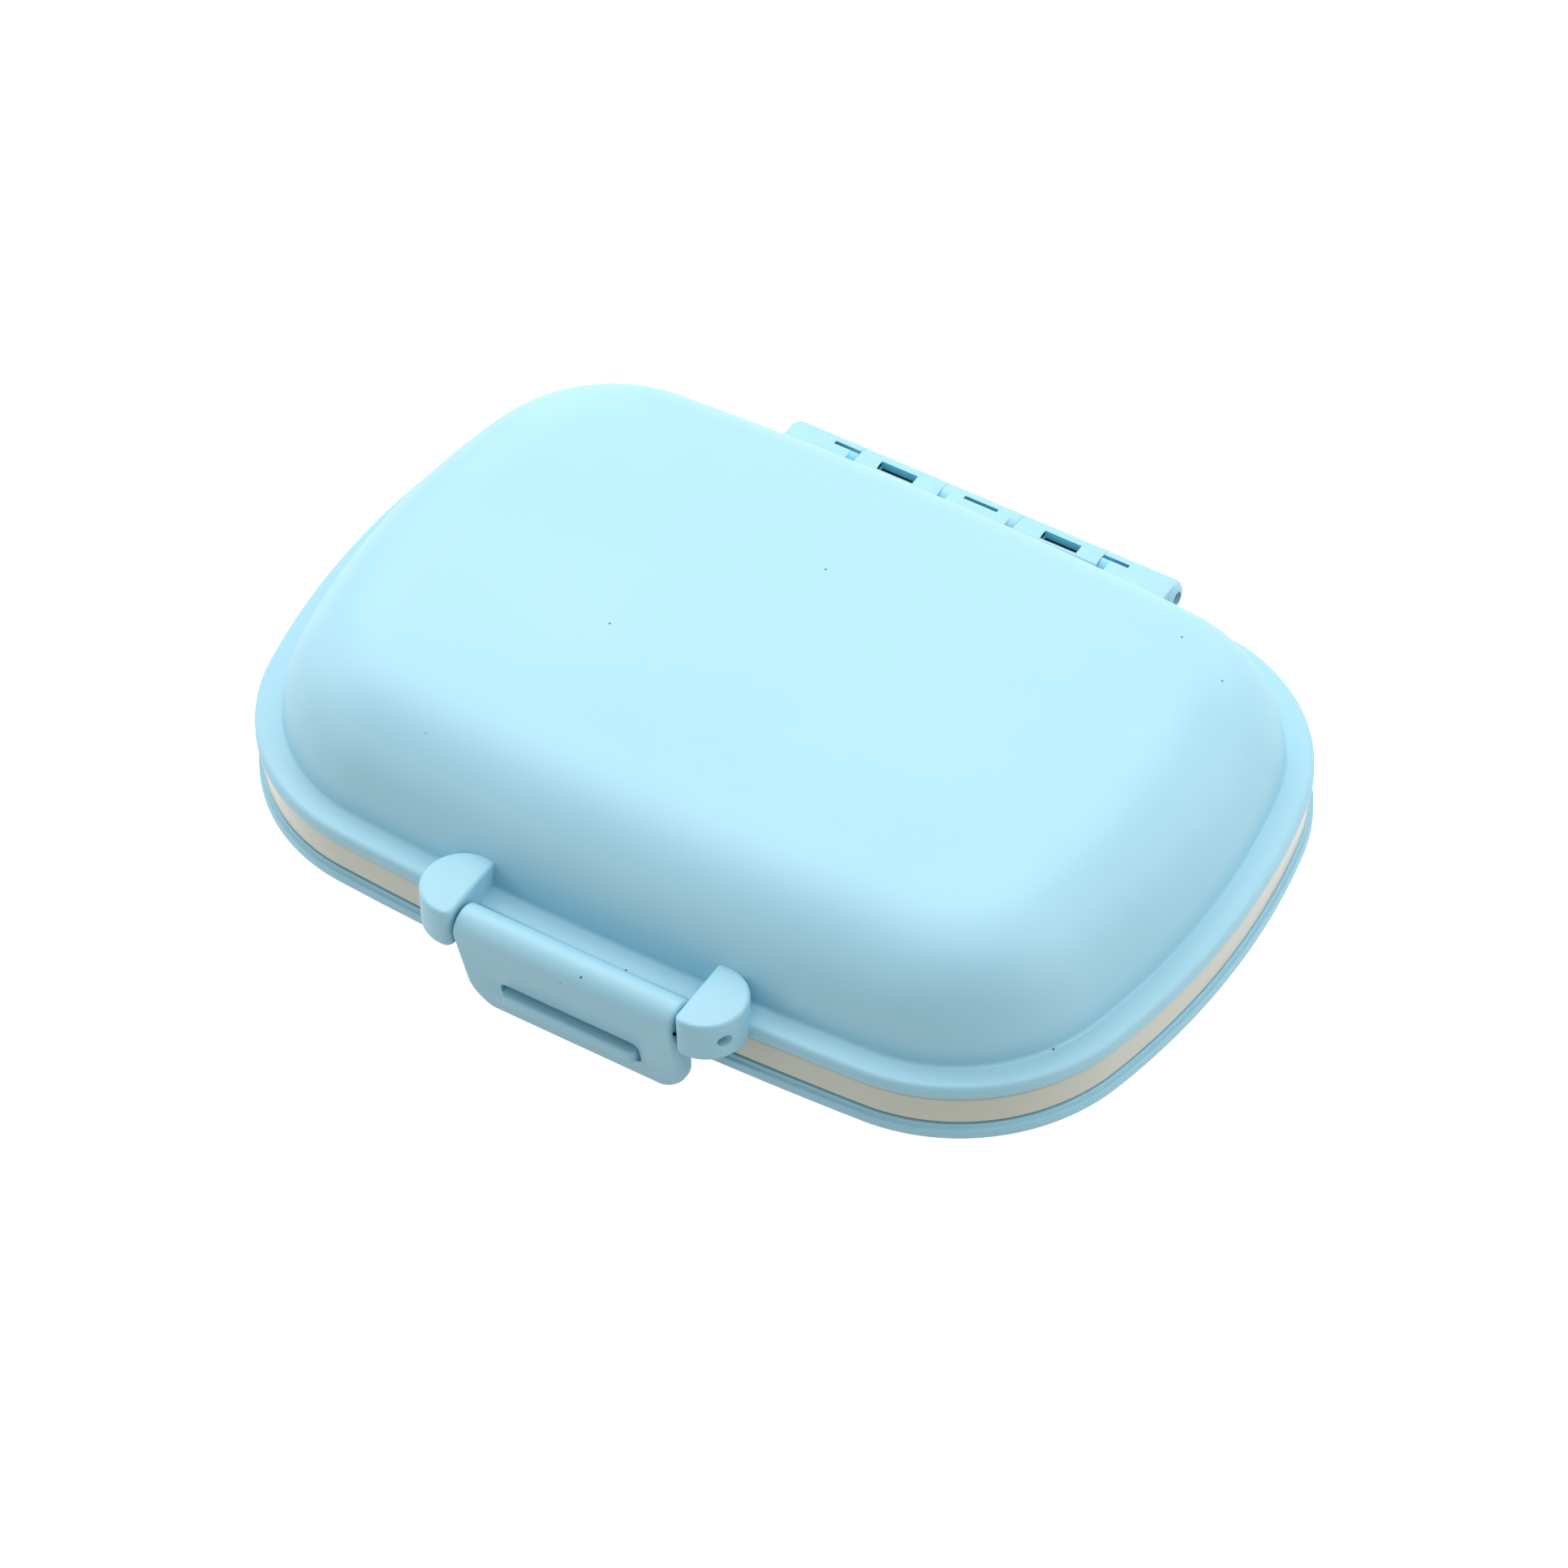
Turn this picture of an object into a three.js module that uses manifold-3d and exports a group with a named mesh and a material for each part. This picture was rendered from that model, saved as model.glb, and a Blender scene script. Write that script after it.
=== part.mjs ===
// Clamshell pill organizer: a domed lid and a bowl-shaped base, hinged at the back and
// latched at the front, around a white tray with eight cells and six removable cross walls.
// Millimetres, +Z up. The origin is the centre of the flat face that the case stands on,
// +X runs along the length and -Y points to the latch.
import * as THREE from 'three';
import { mergeVertices } from 'three/addons/utils/BufferGeometryUtils.js';
import Module from 'manifold-3d';

const wasm = await Module();
wasm.setup();

// Rim outline, shared by the lid, the tray and the base
const rimLength = 120;
const rimWidth = 82;
const longSideRadius = 532;
const endRadius = 94;
const cornerRadius = 24.4;
const endSteps = 3;
const cornerSteps = 8;
const longSteps = 3;

// Heights of the stack, from the resting face up
const bowlDepth = 10;
const baseFlangeHeight = 2.3;
const bandHeight = 4;
const lidFlangeHeight = 2.1;
const domeRise = 13;
const domeCrown = 0.4;

// Moulded shells
const shellWall = 1.5;
const ledgeWidth = 3.3;
const domeShoulder = 14.5;
const bowlShoulder = 12;
const shoulderOutPower = 2.44;
const shoulderUpPower = 1.93;
const shoulderSteps = 7;
const plateauSteps = 2;
const flangeRound = 0.7;
const lowerEdgeRound = 0.3;
const rimStepDepth = 0.45;
const rimStepHeight = 0.5;
const lipWall = 1.3;
const linerPocketDepth = 2.5;
const linerPocketLedge = 0.6;

// Fits
const seatGap = 0.3;
const pinFit = 0.2;
const knuckleGap = 0.3;
const latchSideGap = 0.4;

// Tray and cross walls
const bandRecess = 0.5;
const skirtWall = 1.3;
const trayWeb = 1.3;
const trayWall = 1.7;
const trayFloor = 1.2;
const cellUpright = 5;
const middleWall = 1.4;
const cellColumns = 4;
const crossWall = 1.1;
const guideWidth = 0.9;
const guideDepth = 0.9;
const fingerRadius = 9;
const fingerDepth = 2.2;

// Liner of the lid and its seal
const linerRimHeight = 1.9;
const linerRimWidth = 3.2;
const linerField = 1.2;
const sealWidth = 1.2;
const sealHeight = 1.2;
const sealBead = 0.4;

// Back hinge
const hingeReach = 3.05;
const hingeDrop = 0.8;
const knuckleRadius = 2.1;
const hingeHalfLength = 26.9;
const knuckleEndRound = 1.1;
const hingePinRadius = 0.7;
const hingePinRecess = 1;
const baseKnuckleStart = 5.35;
const baseKnuckleLength = 11.45;
const pocketStart = 8.85;
const pocketLength = 5;
const pocketReach = 1.35;
const armReach = 2.7;
const armTopReach = 1.75;
const armRoot = 1.4;
const armRise = 0.2;
const webSetback = 0.9;
const slitWidth = 0.5;
const slitDepth = 0.9;
const slitOffset = 0.15;
const middleSlitHalf = 2.3;
const endSlitLength = 3.3;

// Front latch
const earSpread = 15.1;
const earRadius = 5;
const earCentreOffset = 1.3;
const earCentreReach = 0.6;
const earSweep = 80;
const earCornerRadius = 1.1;
const earRoot = 4.6;
const earHeight = 5.65;
const earRound = 0.45;
const latchPinReach = 3.25;
const latchPinRise = 2.85;
const latchPinRadius = 0.7;
const latchPinRecess = 1.4;
const latchBarrelRadius = 2.4;
const latchBarrelRound = 0.5;
const latchLength = 13.3;
const latchLean = 11.3;
const latchBackStep = 1.9;
const latchCornerRadius = 4.4;
const latchEdgeRound = 1;
const latchRearRound = 0.5;
const latchFootRound = 0.6;
const slotHalfLength = 9.35;
const slotHeight = 3.75;
const slotCornerRadius = 0.9;
const tabReach = 5.2;
const tabRise = 0.1;
const tabThickness = 1.6;
const tabDrop = 1;
const tabSideGap = 0.45;
const tabNoseRound = 0.35;
const tabCornerRadius = 0.8;

// Facets of the round details
const barSteps = 20;
const earSteps = 12;
const filletSteps = 4;
const plateSteps = 8;

// Heights and places that follow from the sizes above
const a = rimLength / 2;
const b = rimWidth / 2;
const baseFlangeBottom = bowlDepth;
const baseFlangeTop = baseFlangeBottom + baseFlangeHeight;
const parting = baseFlangeTop + bandHeight;
const lidFlangeTop = parting + lidFlangeHeight;
const trayTop = parting - seatGap;
const lipTop = trayTop - trayWeb - seatGap;
const lidTop = lidFlangeTop + domeRise;
const domeEndInset = ledgeWidth + domeShoulder;
const bowlEndInset = ledgeWidth + bowlShoulder;
const lipInset = ledgeWidth + shellWall;
const trayInset = lipInset + seatGap;
const trayUnder = shellWall + seatGap;
const cellInset = trayInset + trayWall;
const cellFloor = trayUnder + trayFloor;
const cellFoot = trayTop - cellUpright;
const cellEndInset = bowlEndInset + trayWall;
const pocketInset = ledgeWidth + shellWall - linerPocketLedge;
const pocketTop = parting + linerPocketDepth;
const linerInset = pocketInset + seatGap;
const linerTop = pocketTop - seatGap;
const linerUnder = linerTop - linerRimHeight;
const sealInset = (trayInset + cellInset - sealWidth) / 2;
const hingeY = b + hingeReach;
const hingeZ = parting - hingeDrop;
const baseKnuckleEnd = baseKnuckleStart + baseKnuckleLength;
const latchY = -b - latchPinReach;
const latchZ = parting + latchPinRise;
const latchBottom = latchZ - latchLength;
const tabBottom = baseFlangeBottom + tabRise;
const slotBottom = tabBottom - tabDrop;

function cornerCentre() {
  const fromEndCentre = new THREE.Vector2(a - endRadius, 0);
  const fromLongCentre = new THREE.Vector2(0, b - longSideRadius);
  const endReach = endRadius - cornerRadius;
  const longReach = longSideRadius - cornerRadius;
  const line = fromEndCentre.clone().sub(fromLongCentre);
  const apart = line.length();
  const along = (longReach ** 2 - endReach ** 2 + apart ** 2) / (2 * apart);
  const across = Math.sqrt(longReach ** 2 - along ** 2);
  line.normalize();
  const side = new THREE.Vector2(line.y, -line.x);
  if (side.x < 0) side.negate();
  return fromLongCentre.addScaledVector(line, along).addScaledVector(side, across);
}

// A quarter of the rim is an end arc, a corner arc and a long-side arc that meet in
// tangents. Their centres stay put when the outline moves inward, so every inset outline
// has the same number of points and the rings of a loft match one to one.
function quarterOutline(inset) {
  const corner = cornerCentre();
  const endTurn = Math.atan2(corner.y, corner.x - (a - endRadius));
  const longTurn = Math.atan2(corner.y - (b - longSideRadius), corner.x);
  const arcs = [
    [a - endRadius, 0, endRadius, 0, endTurn, endSteps],
    [corner.x, corner.y, cornerRadius, endTurn, longTurn, cornerSteps],
    [0, b - longSideRadius, longSideRadius, longTurn, Math.PI / 2, longSteps],
  ];
  const points = [];
  for (const [x, y, radius, from, to, steps] of arcs) {
    for (let i = 0; i < steps; i += 1) {
      const turn = from + ((to - from) * i) / steps;
      const reach = radius - inset;
      points.push([x + reach * Math.cos(turn), y + reach * Math.sin(turn)]);
    }
  }
  points.push([0, b - inset]);
  return points;
}

function rimOutline(inset) {
  const quarter = quarterOutline(inset);
  const back = quarter.slice(0, -1).reverse();
  const front = quarter.slice(1);
  return [
    ...quarter,
    ...back.map(([x, y]) => [-x, y]),
    ...front.map(([x, y]) => [-x, -y]),
    ...back.slice(0, -1).map(([x, y]) => [x, -y]),
  ];
}

function ring(inset, z, spread = 1) {
  return rimOutline(inset).map(([x, y]) => [x * spread, y * spread, z]);
}

function indexed(positions, index) {
  const geometry = new THREE.BufferGeometry();
  geometry.setAttribute('position', new THREE.Float32BufferAttribute(positions, 3));
  geometry.setIndex(index);
  return geometry;
}

function skin(rings, first, closed) {
  const count = rings[0].length;
  const bands = closed ? rings.length : rings.length - 1;
  const at = (k, i) => first + (k % rings.length) * count + (i % count);
  const index = [];
  for (let k = 0; k < bands; k += 1) {
    for (let i = 0; i < count; i += 1) {
      index.push(at(k, i), at(k, i + 1), at(k + 1, i + 1));
      index.push(at(k, i), at(k + 1, i + 1), at(k + 1, i));
    }
  }
  return index;
}

// Closed loft over rings, from a point on the middle axis to a point on it
function loft(startZ, rings, endZ) {
  const count = rings[0].length;
  const middle = [0, 1].map((k) => rings[0].reduce((sum, point) => sum + point[k], 0) / count);
  const last = 1 + (rings.length - 1) * count;
  const end = last + count;
  const index = skin(rings, 1, false);
  for (let i = 0; i < count; i += 1) {
    const next = (i + 1) % count;
    index.push(0, 1 + next, 1 + i);
    index.push(end, last + i, last + next);
  }
  return toSolid(indexed([...middle, startZ, ...rings.flat(2), ...middle, endZ], index));
}

// Closed loft of a frame: the last ring joins the first one
function frameLoft(rings) {
  return toSolid(indexed(rings.flat(2), skin(rings, 0, true)));
}

// Rounded shoulder, from its foot on a wall to the edge of the flat above or below it
function shoulder(inset, z, width, rise) {
  const rings = [];
  for (let i = 0; i <= shoulderSteps; i += 1) {
    const turn = (Math.PI / 2) * (i / shoulderSteps);
    const inward = 1 - Math.cos(turn) ** (2 / shoulderOutPower);
    const upward = Math.sin(turn) ** (2 / shoulderUpPower);
    rings.push(ring(inset + width * inward, z + rise * upward));
  }
  return rings;
}

// Slightly crowned middle of the dome, from its edge inward
function crownRings(inset, z) {
  const rings = [];
  for (let i = 1; i < plateauSteps; i += 1) {
    const spread = 1 - i / plateauSteps;
    rings.push(ring(inset, z + domeCrown * (1 - spread ** 2), spread));
  }
  return rings;
}

function toSolid(geometry) {
  const bare = new THREE.BufferGeometry();
  bare.setAttribute('position', geometry.attributes.position);
  if (geometry.index) bare.setIndex(geometry.index);
  const merged = mergeVertices(bare, 1e-4);
  const kept = [];
  const corners = merged.index.array;
  for (let i = 0; i < corners.length; i += 3) {
    const [p, q, r] = [corners[i], corners[i + 1], corners[i + 2]];
    if (p !== q && q !== r && r !== p) kept.push(p, q, r);
  }
  const vertProperties = new Float32Array(merged.attributes.position.array);
  const triVerts = new Uint32Array(kept);
  return new wasm.Manifold(new wasm.Mesh({ numProp: 3, vertProperties, triVerts }));
}

function toGeometry(solid) {
  const mesh = solid.getMesh();
  const geometry = indexed(mesh.vertProperties, Array.from(mesh.triVerts));
  geometry.computeVertexNormals();
  return geometry;
}

function join(...solids) {
  return solids.reduce((whole, solid) => whole.add(solid));
}

function cuboid([x0, x1], [y0, y1], [z0, z1]) {
  const box = new THREE.BoxGeometry(x1 - x0, y1 - y0, z1 - z0);
  return toSolid(box.translate((x0 + x1) / 2, (y0 + y1) / 2, (z0 + z1) / 2));
}

// Closed outline whose corners [u, v, radius] are rounded, also the inward ones
function filleted(corners) {
  const points = [];
  corners.forEach(([u, v, radius], i) => {
    const here = new THREE.Vector2(u, v);
    if (radius === 0) {
      points.push(here);
      return;
    }
    const [bu, bv] = corners[(i + corners.length - 1) % corners.length];
    const [nu, nv] = corners[(i + 1) % corners.length];
    const back = new THREE.Vector2(bu, bv).sub(here).normalize();
    const on = new THREE.Vector2(nu, nv).sub(here).normalize();
    const half = Math.acos(back.dot(on)) / 2;
    const middle = back.clone().add(on).normalize();
    const centre = here.clone().addScaledVector(middle, radius / Math.sin(half));
    const start = here.clone().addScaledVector(back, radius / Math.tan(half)).sub(centre);
    const end = here.clone().addScaledVector(on, radius / Math.tan(half)).sub(centre);
    const sweep = Math.atan2(start.cross(end), start.dot(end));
    for (let k = 0; k <= filletSteps; k += 1) {
      const spoke = start.clone().rotateAround(new THREE.Vector2(), (sweep * k) / filletSteps);
      points.push(spoke.add(centre));
    }
  });
  return points;
}

function extruded(points, depth) {
  return new THREE.ExtrudeGeometry(new THREE.Shape(points), { depth, bevelEnabled: false });
}

// Bar along X from an outline drawn in Y and Z
function alongX(points, [x0, x1]) {
  const bar = extruded(points, x1 - x0);
  return toSolid(bar.applyMatrix4(new THREE.Matrix4().set(0, 0, 1, x0, 1, 0, 0, 0, 0, 1, 0, 0, 0, 0, 0, 1)));
}

// Bar along Y from an outline drawn in X and Z
function alongY(points, [y0, y1]) {
  const bar = extruded(points, y1 - y0);
  return toSolid(bar.rotateX(Math.PI / 2).translate(0, y1, 0));
}

// Block along Z from an outline drawn in X and Y
function upright(points, [z0, z1]) {
  return toSolid(extruded(points, z1 - z0).translate(0, 0, z0));
}

// Turned bar with rounded ends, standing on its own axis
function turned(radius, [from, to], [roundFrom, roundTo], steps) {
  const profile = [new THREE.Vector2(0, from)];
  for (let i = 0; i <= filletSteps; i += 1) {
    const turn = (Math.PI / 2) * (i / filletSteps);
    const side = radius - roundFrom * (1 - Math.sin(turn));
    profile.push(new THREE.Vector2(side, from + roundFrom * (1 - Math.cos(turn))));
  }
  for (let i = filletSteps; i >= 0; i -= 1) {
    const turn = (Math.PI / 2) * (i / filletSteps);
    const side = radius - roundTo * (1 - Math.sin(turn));
    profile.push(new THREE.Vector2(side, to - roundTo * (1 - Math.cos(turn))));
  }
  profile.push(new THREE.Vector2(0, to));
  return new THREE.LatheGeometry(profile, steps);
}

function barAlongX(y, z, radius, span, rounds = [0, 0]) {
  return toSolid(turned(radius, span, rounds, barSteps).rotateZ(-Math.PI / 2).translate(0, y, z));
}

function mirroredSpan([x0, x1]) {
  return [-x1, -x0];
}

// Lid: flange, dome and the pocket that takes the liner
function lidBody() {
  const innerShoulder = shoulder(lipInset + linerPocketLedge / 3, pocketTop,
    domeEndInset - lipInset - linerPocketLedge / 3, lidTop - shellWall - pocketTop);
  const outerShoulder = shoulder(ledgeWidth, lidFlangeTop, domeShoulder, domeRise);
  const rings = [
    ...crownRings(domeEndInset, lidTop - shellWall).reverse(),
    ...innerShoulder.reverse(),
    ring(pocketInset, pocketTop),
    ring(pocketInset, parting),
    ring(lowerEdgeRound, parting),
    ring(0, parting + lowerEdgeRound),
    ring(0, lidFlangeTop - flangeRound),
    ring(flangeRound * 0.3, lidFlangeTop - flangeRound * 0.3),
    ring(flangeRound, lidFlangeTop),
    ...outerShoulder,
    ...crownRings(domeEndInset, lidTop),
  ];
  return loft(lidTop - shellWall + domeCrown, rings, lidTop + domeCrown);
}

// Outline of the right ear: flat inside and round outside, with its root in the dome wall
function earOutline(inset) {
  const centreX = earSpread + earCentreOffset;
  const centreY = -b - earCentreReach;
  const reach = earRadius - earCornerRadius;
  const lean = Math.asin((earCentreOffset - earCornerRadius) / reach);
  const meet = -Math.PI / 2 - lean;
  const cornerX = centreX + reach * Math.cos(meet);
  const cornerY = centreY + reach * Math.sin(meet);
  const arcs = [
    [cornerX, cornerY, earCornerRadius, -Math.PI, meet, filletSteps],
    [centreX, centreY, earRadius, meet, THREE.MathUtils.degToRad(earSweep), earSteps],
  ];
  const points = [[earSpread + inset, -b + earRoot]];
  for (const [x, y, radius, from, to, steps] of arcs) {
    for (let i = 0; i < steps; i += 1) {
      const turn = from + ((to - from) * i) / steps;
      points.push([x + (radius - inset) * Math.cos(turn), y + (radius - inset) * Math.sin(turn)]);
    }
  }
  const endTurn = THREE.MathUtils.degToRad(earSweep);
  const endX = centreX + (earRadius - inset) * Math.cos(endTurn);
  points.push([endX, centreY + (earRadius - inset) * Math.sin(endTurn)]);
  points.push([endX, -b + earRoot]);
  return points;
}

// Pair of ears that carry the latch pin
function ears() {
  const top = parting + earHeight;
  const layers = [];
  for (let i = 0; i <= filletSteps; i += 1) {
    const turn = (Math.PI / 2) * (i / filletSteps);
    layers.push([earRound * (1 - Math.sin(turn)), earRound * (1 - Math.cos(turn))]);
  }
  const rings = [
    ...layers.map(([inset, rise]) => earOutline(inset).map(([x, y]) => [x, y, parting + rise])),
    ...layers.reverse().map(([inset, drop]) => earOutline(inset).map(([x, y]) => [x, y, top - drop])),
  ];
  const mirrored = rings.map((points) => points.map(([x, y, z]) => [-x, y, z]).reverse());
  return join(loft(parting, rings, top), loft(parting, mirrored, top));
}

// Lid knuckles: one in the middle and one at each end, each on a flat web
function lidKnuckles() {
  const middle = [-baseKnuckleStart + knuckleGap, baseKnuckleStart - knuckleGap];
  const end = [baseKnuckleEnd + knuckleGap, hingeHalfLength];
  const webTop = hingeZ + knuckleRadius;
  const web = [
    [b - armRoot, parting + lowerEdgeRound, 0],
    [b + lowerEdgeRound, parting + lowerEdgeRound, 0],
    [hingeY - knuckleRadius / 2, hingeZ, 0],
    [hingeY, hingeZ, 0],
    [hingeY, webTop, 0],
    [b - armRoot, webTop, 0],
  ];
  const webPoints = filleted(web);
  const endWeb = [end[0] + webSetback, end[1] - knuckleEndRound / 4];
  const slitY = [hingeY + slitOffset - slitWidth, hingeY + slitOffset];
  const slitZ = [webTop - slitDepth, webTop + 1];
  const endSlit = [end[0] - knuckleGap, end[0] + endSlitLength];
  const solid = join(
    barAlongX(hingeY, hingeZ, knuckleRadius, middle),
    alongX(webPoints, [middle[0] + webSetback, middle[1] - webSetback]),
    barAlongX(hingeY, hingeZ, knuckleRadius, end, [0, knuckleEndRound]),
    barAlongX(hingeY, hingeZ, knuckleRadius, mirroredSpan(end), [knuckleEndRound, 0]),
    alongX(webPoints, endWeb),
    alongX(webPoints, mirroredSpan(endWeb)),
  );
  const cuts = join(
    cuboid([-middleSlitHalf, middleSlitHalf], slitY, slitZ),
    cuboid(endSlit, slitY, slitZ),
    cuboid(mirroredSpan(endSlit), slitY, slitZ),
  );
  return solid.subtract(cuts);
}

function lidShell() {
  const hingeBore = barAlongX(hingeY, hingeZ, hingePinRadius + pinFit, [-a, a]);
  const latchBore = barAlongX(latchY, latchZ, latchPinRadius + pinFit, [-a, a]);
  return join(lidBody(), lidKnuckles(), ears()).subtract(hingeBore).subtract(latchBore);
}

// Base: bowl, stepped flange and the lip that locates the tray
function baseBody() {
  const outerShoulder = shoulder(ledgeWidth, baseFlangeBottom, bowlShoulder, -bowlDepth);
  const innerShoulder = shoulder(lipInset, baseFlangeBottom, bowlEndInset - lipInset,
    shellWall - bowlDepth);
  const lipOuter = lipInset - lipWall;
  const rings = [
    ...outerShoulder.reverse(),
    ring(lowerEdgeRound, baseFlangeBottom),
    ring(0, baseFlangeBottom + lowerEdgeRound),
    ring(0, baseFlangeTop - rimStepHeight),
    ring(rimStepDepth, baseFlangeTop - rimStepHeight),
    ring(rimStepDepth, baseFlangeTop),
    ring(lipOuter, baseFlangeTop),
    ring(lipOuter, lipTop - lowerEdgeRound),
    ring(lipOuter + lowerEdgeRound, lipTop),
    ring(lipInset, lipTop),
    ...innerShoulder,
  ];
  return loft(0, rings, shellWall);
}

// Base knuckles: two blocks, each with a pocket in its top that opens into the hinge bore
function baseKnuckles() {
  const arm = filleted([
    [b - armRoot, baseFlangeTop - rimStepHeight, 0],
    [b - armRoot, baseFlangeBottom + 2 * armRise, 0],
    [b - lowerEdgeRound, baseFlangeBottom + armRise, 0],
    [hingeY + knuckleRadius * 0.42, hingeZ - knuckleRadius * 0.9, 0],
    [hingeY, hingeZ, 0],
    [hingeY, hingeZ + knuckleRadius, 0],
    [hingeY - armTopReach, hingeZ + knuckleRadius, 0.3],
    [hingeY - armReach, hingeZ + hingeDrop * 0.75, 0],
    [hingeY - armReach, baseFlangeTop - rimStepHeight, 0],
  ]);
  const knuckle = [baseKnuckleStart, baseKnuckleEnd];
  const pocketX = [pocketStart, pocketStart + pocketLength];
  const pocketY = [hingeY - pocketReach, hingeY];
  const pocketZ = [hingeZ, hingeZ + 2 * knuckleRadius];
  return join(
    barAlongX(hingeY, hingeZ, knuckleRadius, knuckle),
    barAlongX(hingeY, hingeZ, knuckleRadius, mirroredSpan(knuckle)),
    alongX(arm, knuckle),
    alongX(arm, mirroredSpan(knuckle)),
  ).subtract(join(
    cuboid(pocketX, pocketY, pocketZ),
    cuboid(mirroredSpan(pocketX), pocketY, pocketZ),
  ));
}

// Tab on the base flange that passes through the slot of the latch
function catchTab() {
  const nose = -b - tabReach;
  const half = slotHalfLength - tabSideGap;
  const root = -b + armRoot;
  const side = filleted([
    [nose, tabBottom, tabNoseRound],
    [nose, tabBottom + tabThickness, tabNoseRound],
    [root, tabBottom + tabThickness, 0],
    [root, tabBottom, 0],
  ]);
  const plan = filleted([
    [-half, nose, tabCornerRadius],
    [half, nose, tabCornerRadius],
    [half, root, 0],
    [-half, root, 0],
  ]);
  return alongX(side, [-half, half]).intersect(upright(plan, [0, baseFlangeTop]));
}

function baseShell() {
  const bore = barAlongX(hingeY, hingeZ, hingePinRadius + pinFit, [-a, a]);
  return join(baseBody(), baseKnuckles(), catchTab()).subtract(bore);
}

// Room of the cells, shrunk by a margin on every side
function cellRoom(margin, top) {
  const inset = cellInset + margin;
  const rings = shoulder(inset, cellFoot, cellEndInset - cellInset, cellFloor + margin - cellFoot);
  return loft(cellFloor + margin, [...rings.reverse(), ring(inset, top)], top);
}

function guideCentres() {
  const pitch = (rimLength - 2 * cellInset) / cellColumns;
  const centres = [];
  for (let i = 1; i < cellColumns; i += 1) centres.push((i - cellColumns / 2) * pitch);
  return centres;
}

function trayBody() {
  const skirtBottom = baseFlangeTop + seatGap;
  const skirtInner = bandRecess + skirtWall;
  const webUnder = trayTop - trayWeb;
  const outer = shoulder(trayInset, baseFlangeBottom, bowlEndInset - lipInset,
    trayUnder - baseFlangeBottom);
  const inner = shoulder(cellInset, cellFoot, cellEndInset - cellInset, cellFloor - cellFoot);
  const rings = [
    ...outer.reverse(),
    ring(trayInset, webUnder),
    ring(skirtInner, webUnder),
    ring(skirtInner, skirtBottom),
    ring(bandRecess + lowerEdgeRound, skirtBottom),
    ring(bandRecess, skirtBottom + lowerEdgeRound),
    ring(bandRecess, trayTop - lowerEdgeRound),
    ring(bandRecess + lowerEdgeRound, trayTop),
    ring(cellInset, trayTop),
    ...inner,
  ];
  return loft(trayUnder, rings, cellFloor);
}

// Middle wall and the ribbed frames that guide the cross walls
function trayPartitions() {
  const inWall = -trayWall / 2;
  const reach = [-a, a];
  const height = [0, trayTop];
  const half = middleWall / 2;
  const wall = cellRoom(inWall, trayTop).intersect(cuboid(reach, [-half, half], height));
  const outerRoom = cellRoom(inWall, trayTop);
  const innerRoom = cellRoom(guideDepth, trayTop + 1);
  const spine = cuboid(reach, [-half - guideDepth, half + guideDepth], height);
  const frame = outerRoom.subtract(innerRoom.subtract(spine));
  const grooveHalf = crossWall / 2 + seatGap;
  const ribs = [];
  for (const x of guideCentres()) {
    for (const side of [-1, 1]) {
      const from = x + side * grooveHalf;
      const to = from + side * guideWidth;
      const slab = cuboid([Math.min(from, to), Math.max(from, to)], [-b, b], height);
      ribs.push(frame.intersect(slab));
    }
  }
  return join(wall, ...ribs);
}

function compartmentTray() {
  return join(trayBody(), trayPartitions());
}

// Cross wall: it fills the section of a row and has a finger scallop in its top edge
function crossDivider(x, side) {
  const near = middleWall / 2 + seatGap;
  const far = b - cellInset;
  const top = trayTop - seatGap;
  const half = crossWall / 2;
  const row = side > 0 ? [near, b] : [-b, -near];
  const slab = cuboid([x - half, x + half], row, [0, top]);
  const scallopY = (side * (near + far)) / 2;
  const scallopZ = top + fingerRadius - fingerDepth;
  const scallop = barAlongX(scallopY, scallopZ, fingerRadius, [x - 2 * half, x + 2 * half]);
  return cellRoom(seatGap, top).intersect(slab).subtract(scallop);
}

// Liner plate inside the lid, with a raised rim above and a seal groove below
function lidLiner() {
  const grooveOuter = sealInset - seatGap;
  const grooveInner = sealInset + sealWidth + seatGap;
  const grooveTop = linerUnder + sealHeight;
  const rimInner = linerInset + linerRimWidth;
  const fieldTop = linerUnder + linerField;
  const rings = [
    ring(grooveInner, linerUnder),
    ring(grooveInner, grooveTop),
    ring(grooveOuter, grooveTop),
    ring(grooveOuter, linerUnder),
    ring(linerInset, linerUnder),
    ring(linerInset, linerTop),
    ring(rimInner, linerTop),
    ring(rimInner + linerRimHeight - linerField, fieldTop),
  ];
  return loft(linerUnder, rings, fieldTop);
}

function linerSeal() {
  const bottom = trayTop + seatGap;
  const top = bottom + sealHeight;
  const inner = sealInset + sealWidth;
  return frameLoft([
    ring(sealInset, bottom + sealBead),
    ring(sealInset, top),
    ring(inner, top),
    ring(inner, bottom + sealBead),
    ring(inner - sealBead, bottom),
    ring(sealInset + sealBead, bottom),
  ]);
}

// How far a quarter-round edge stands back at a distance from the tip of the edge
function edgeSetback(distance, radius) {
  if (distance >= radius) return 0;
  return radius - Math.sqrt(radius ** 2 - (radius - distance) ** 2);
}

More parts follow.
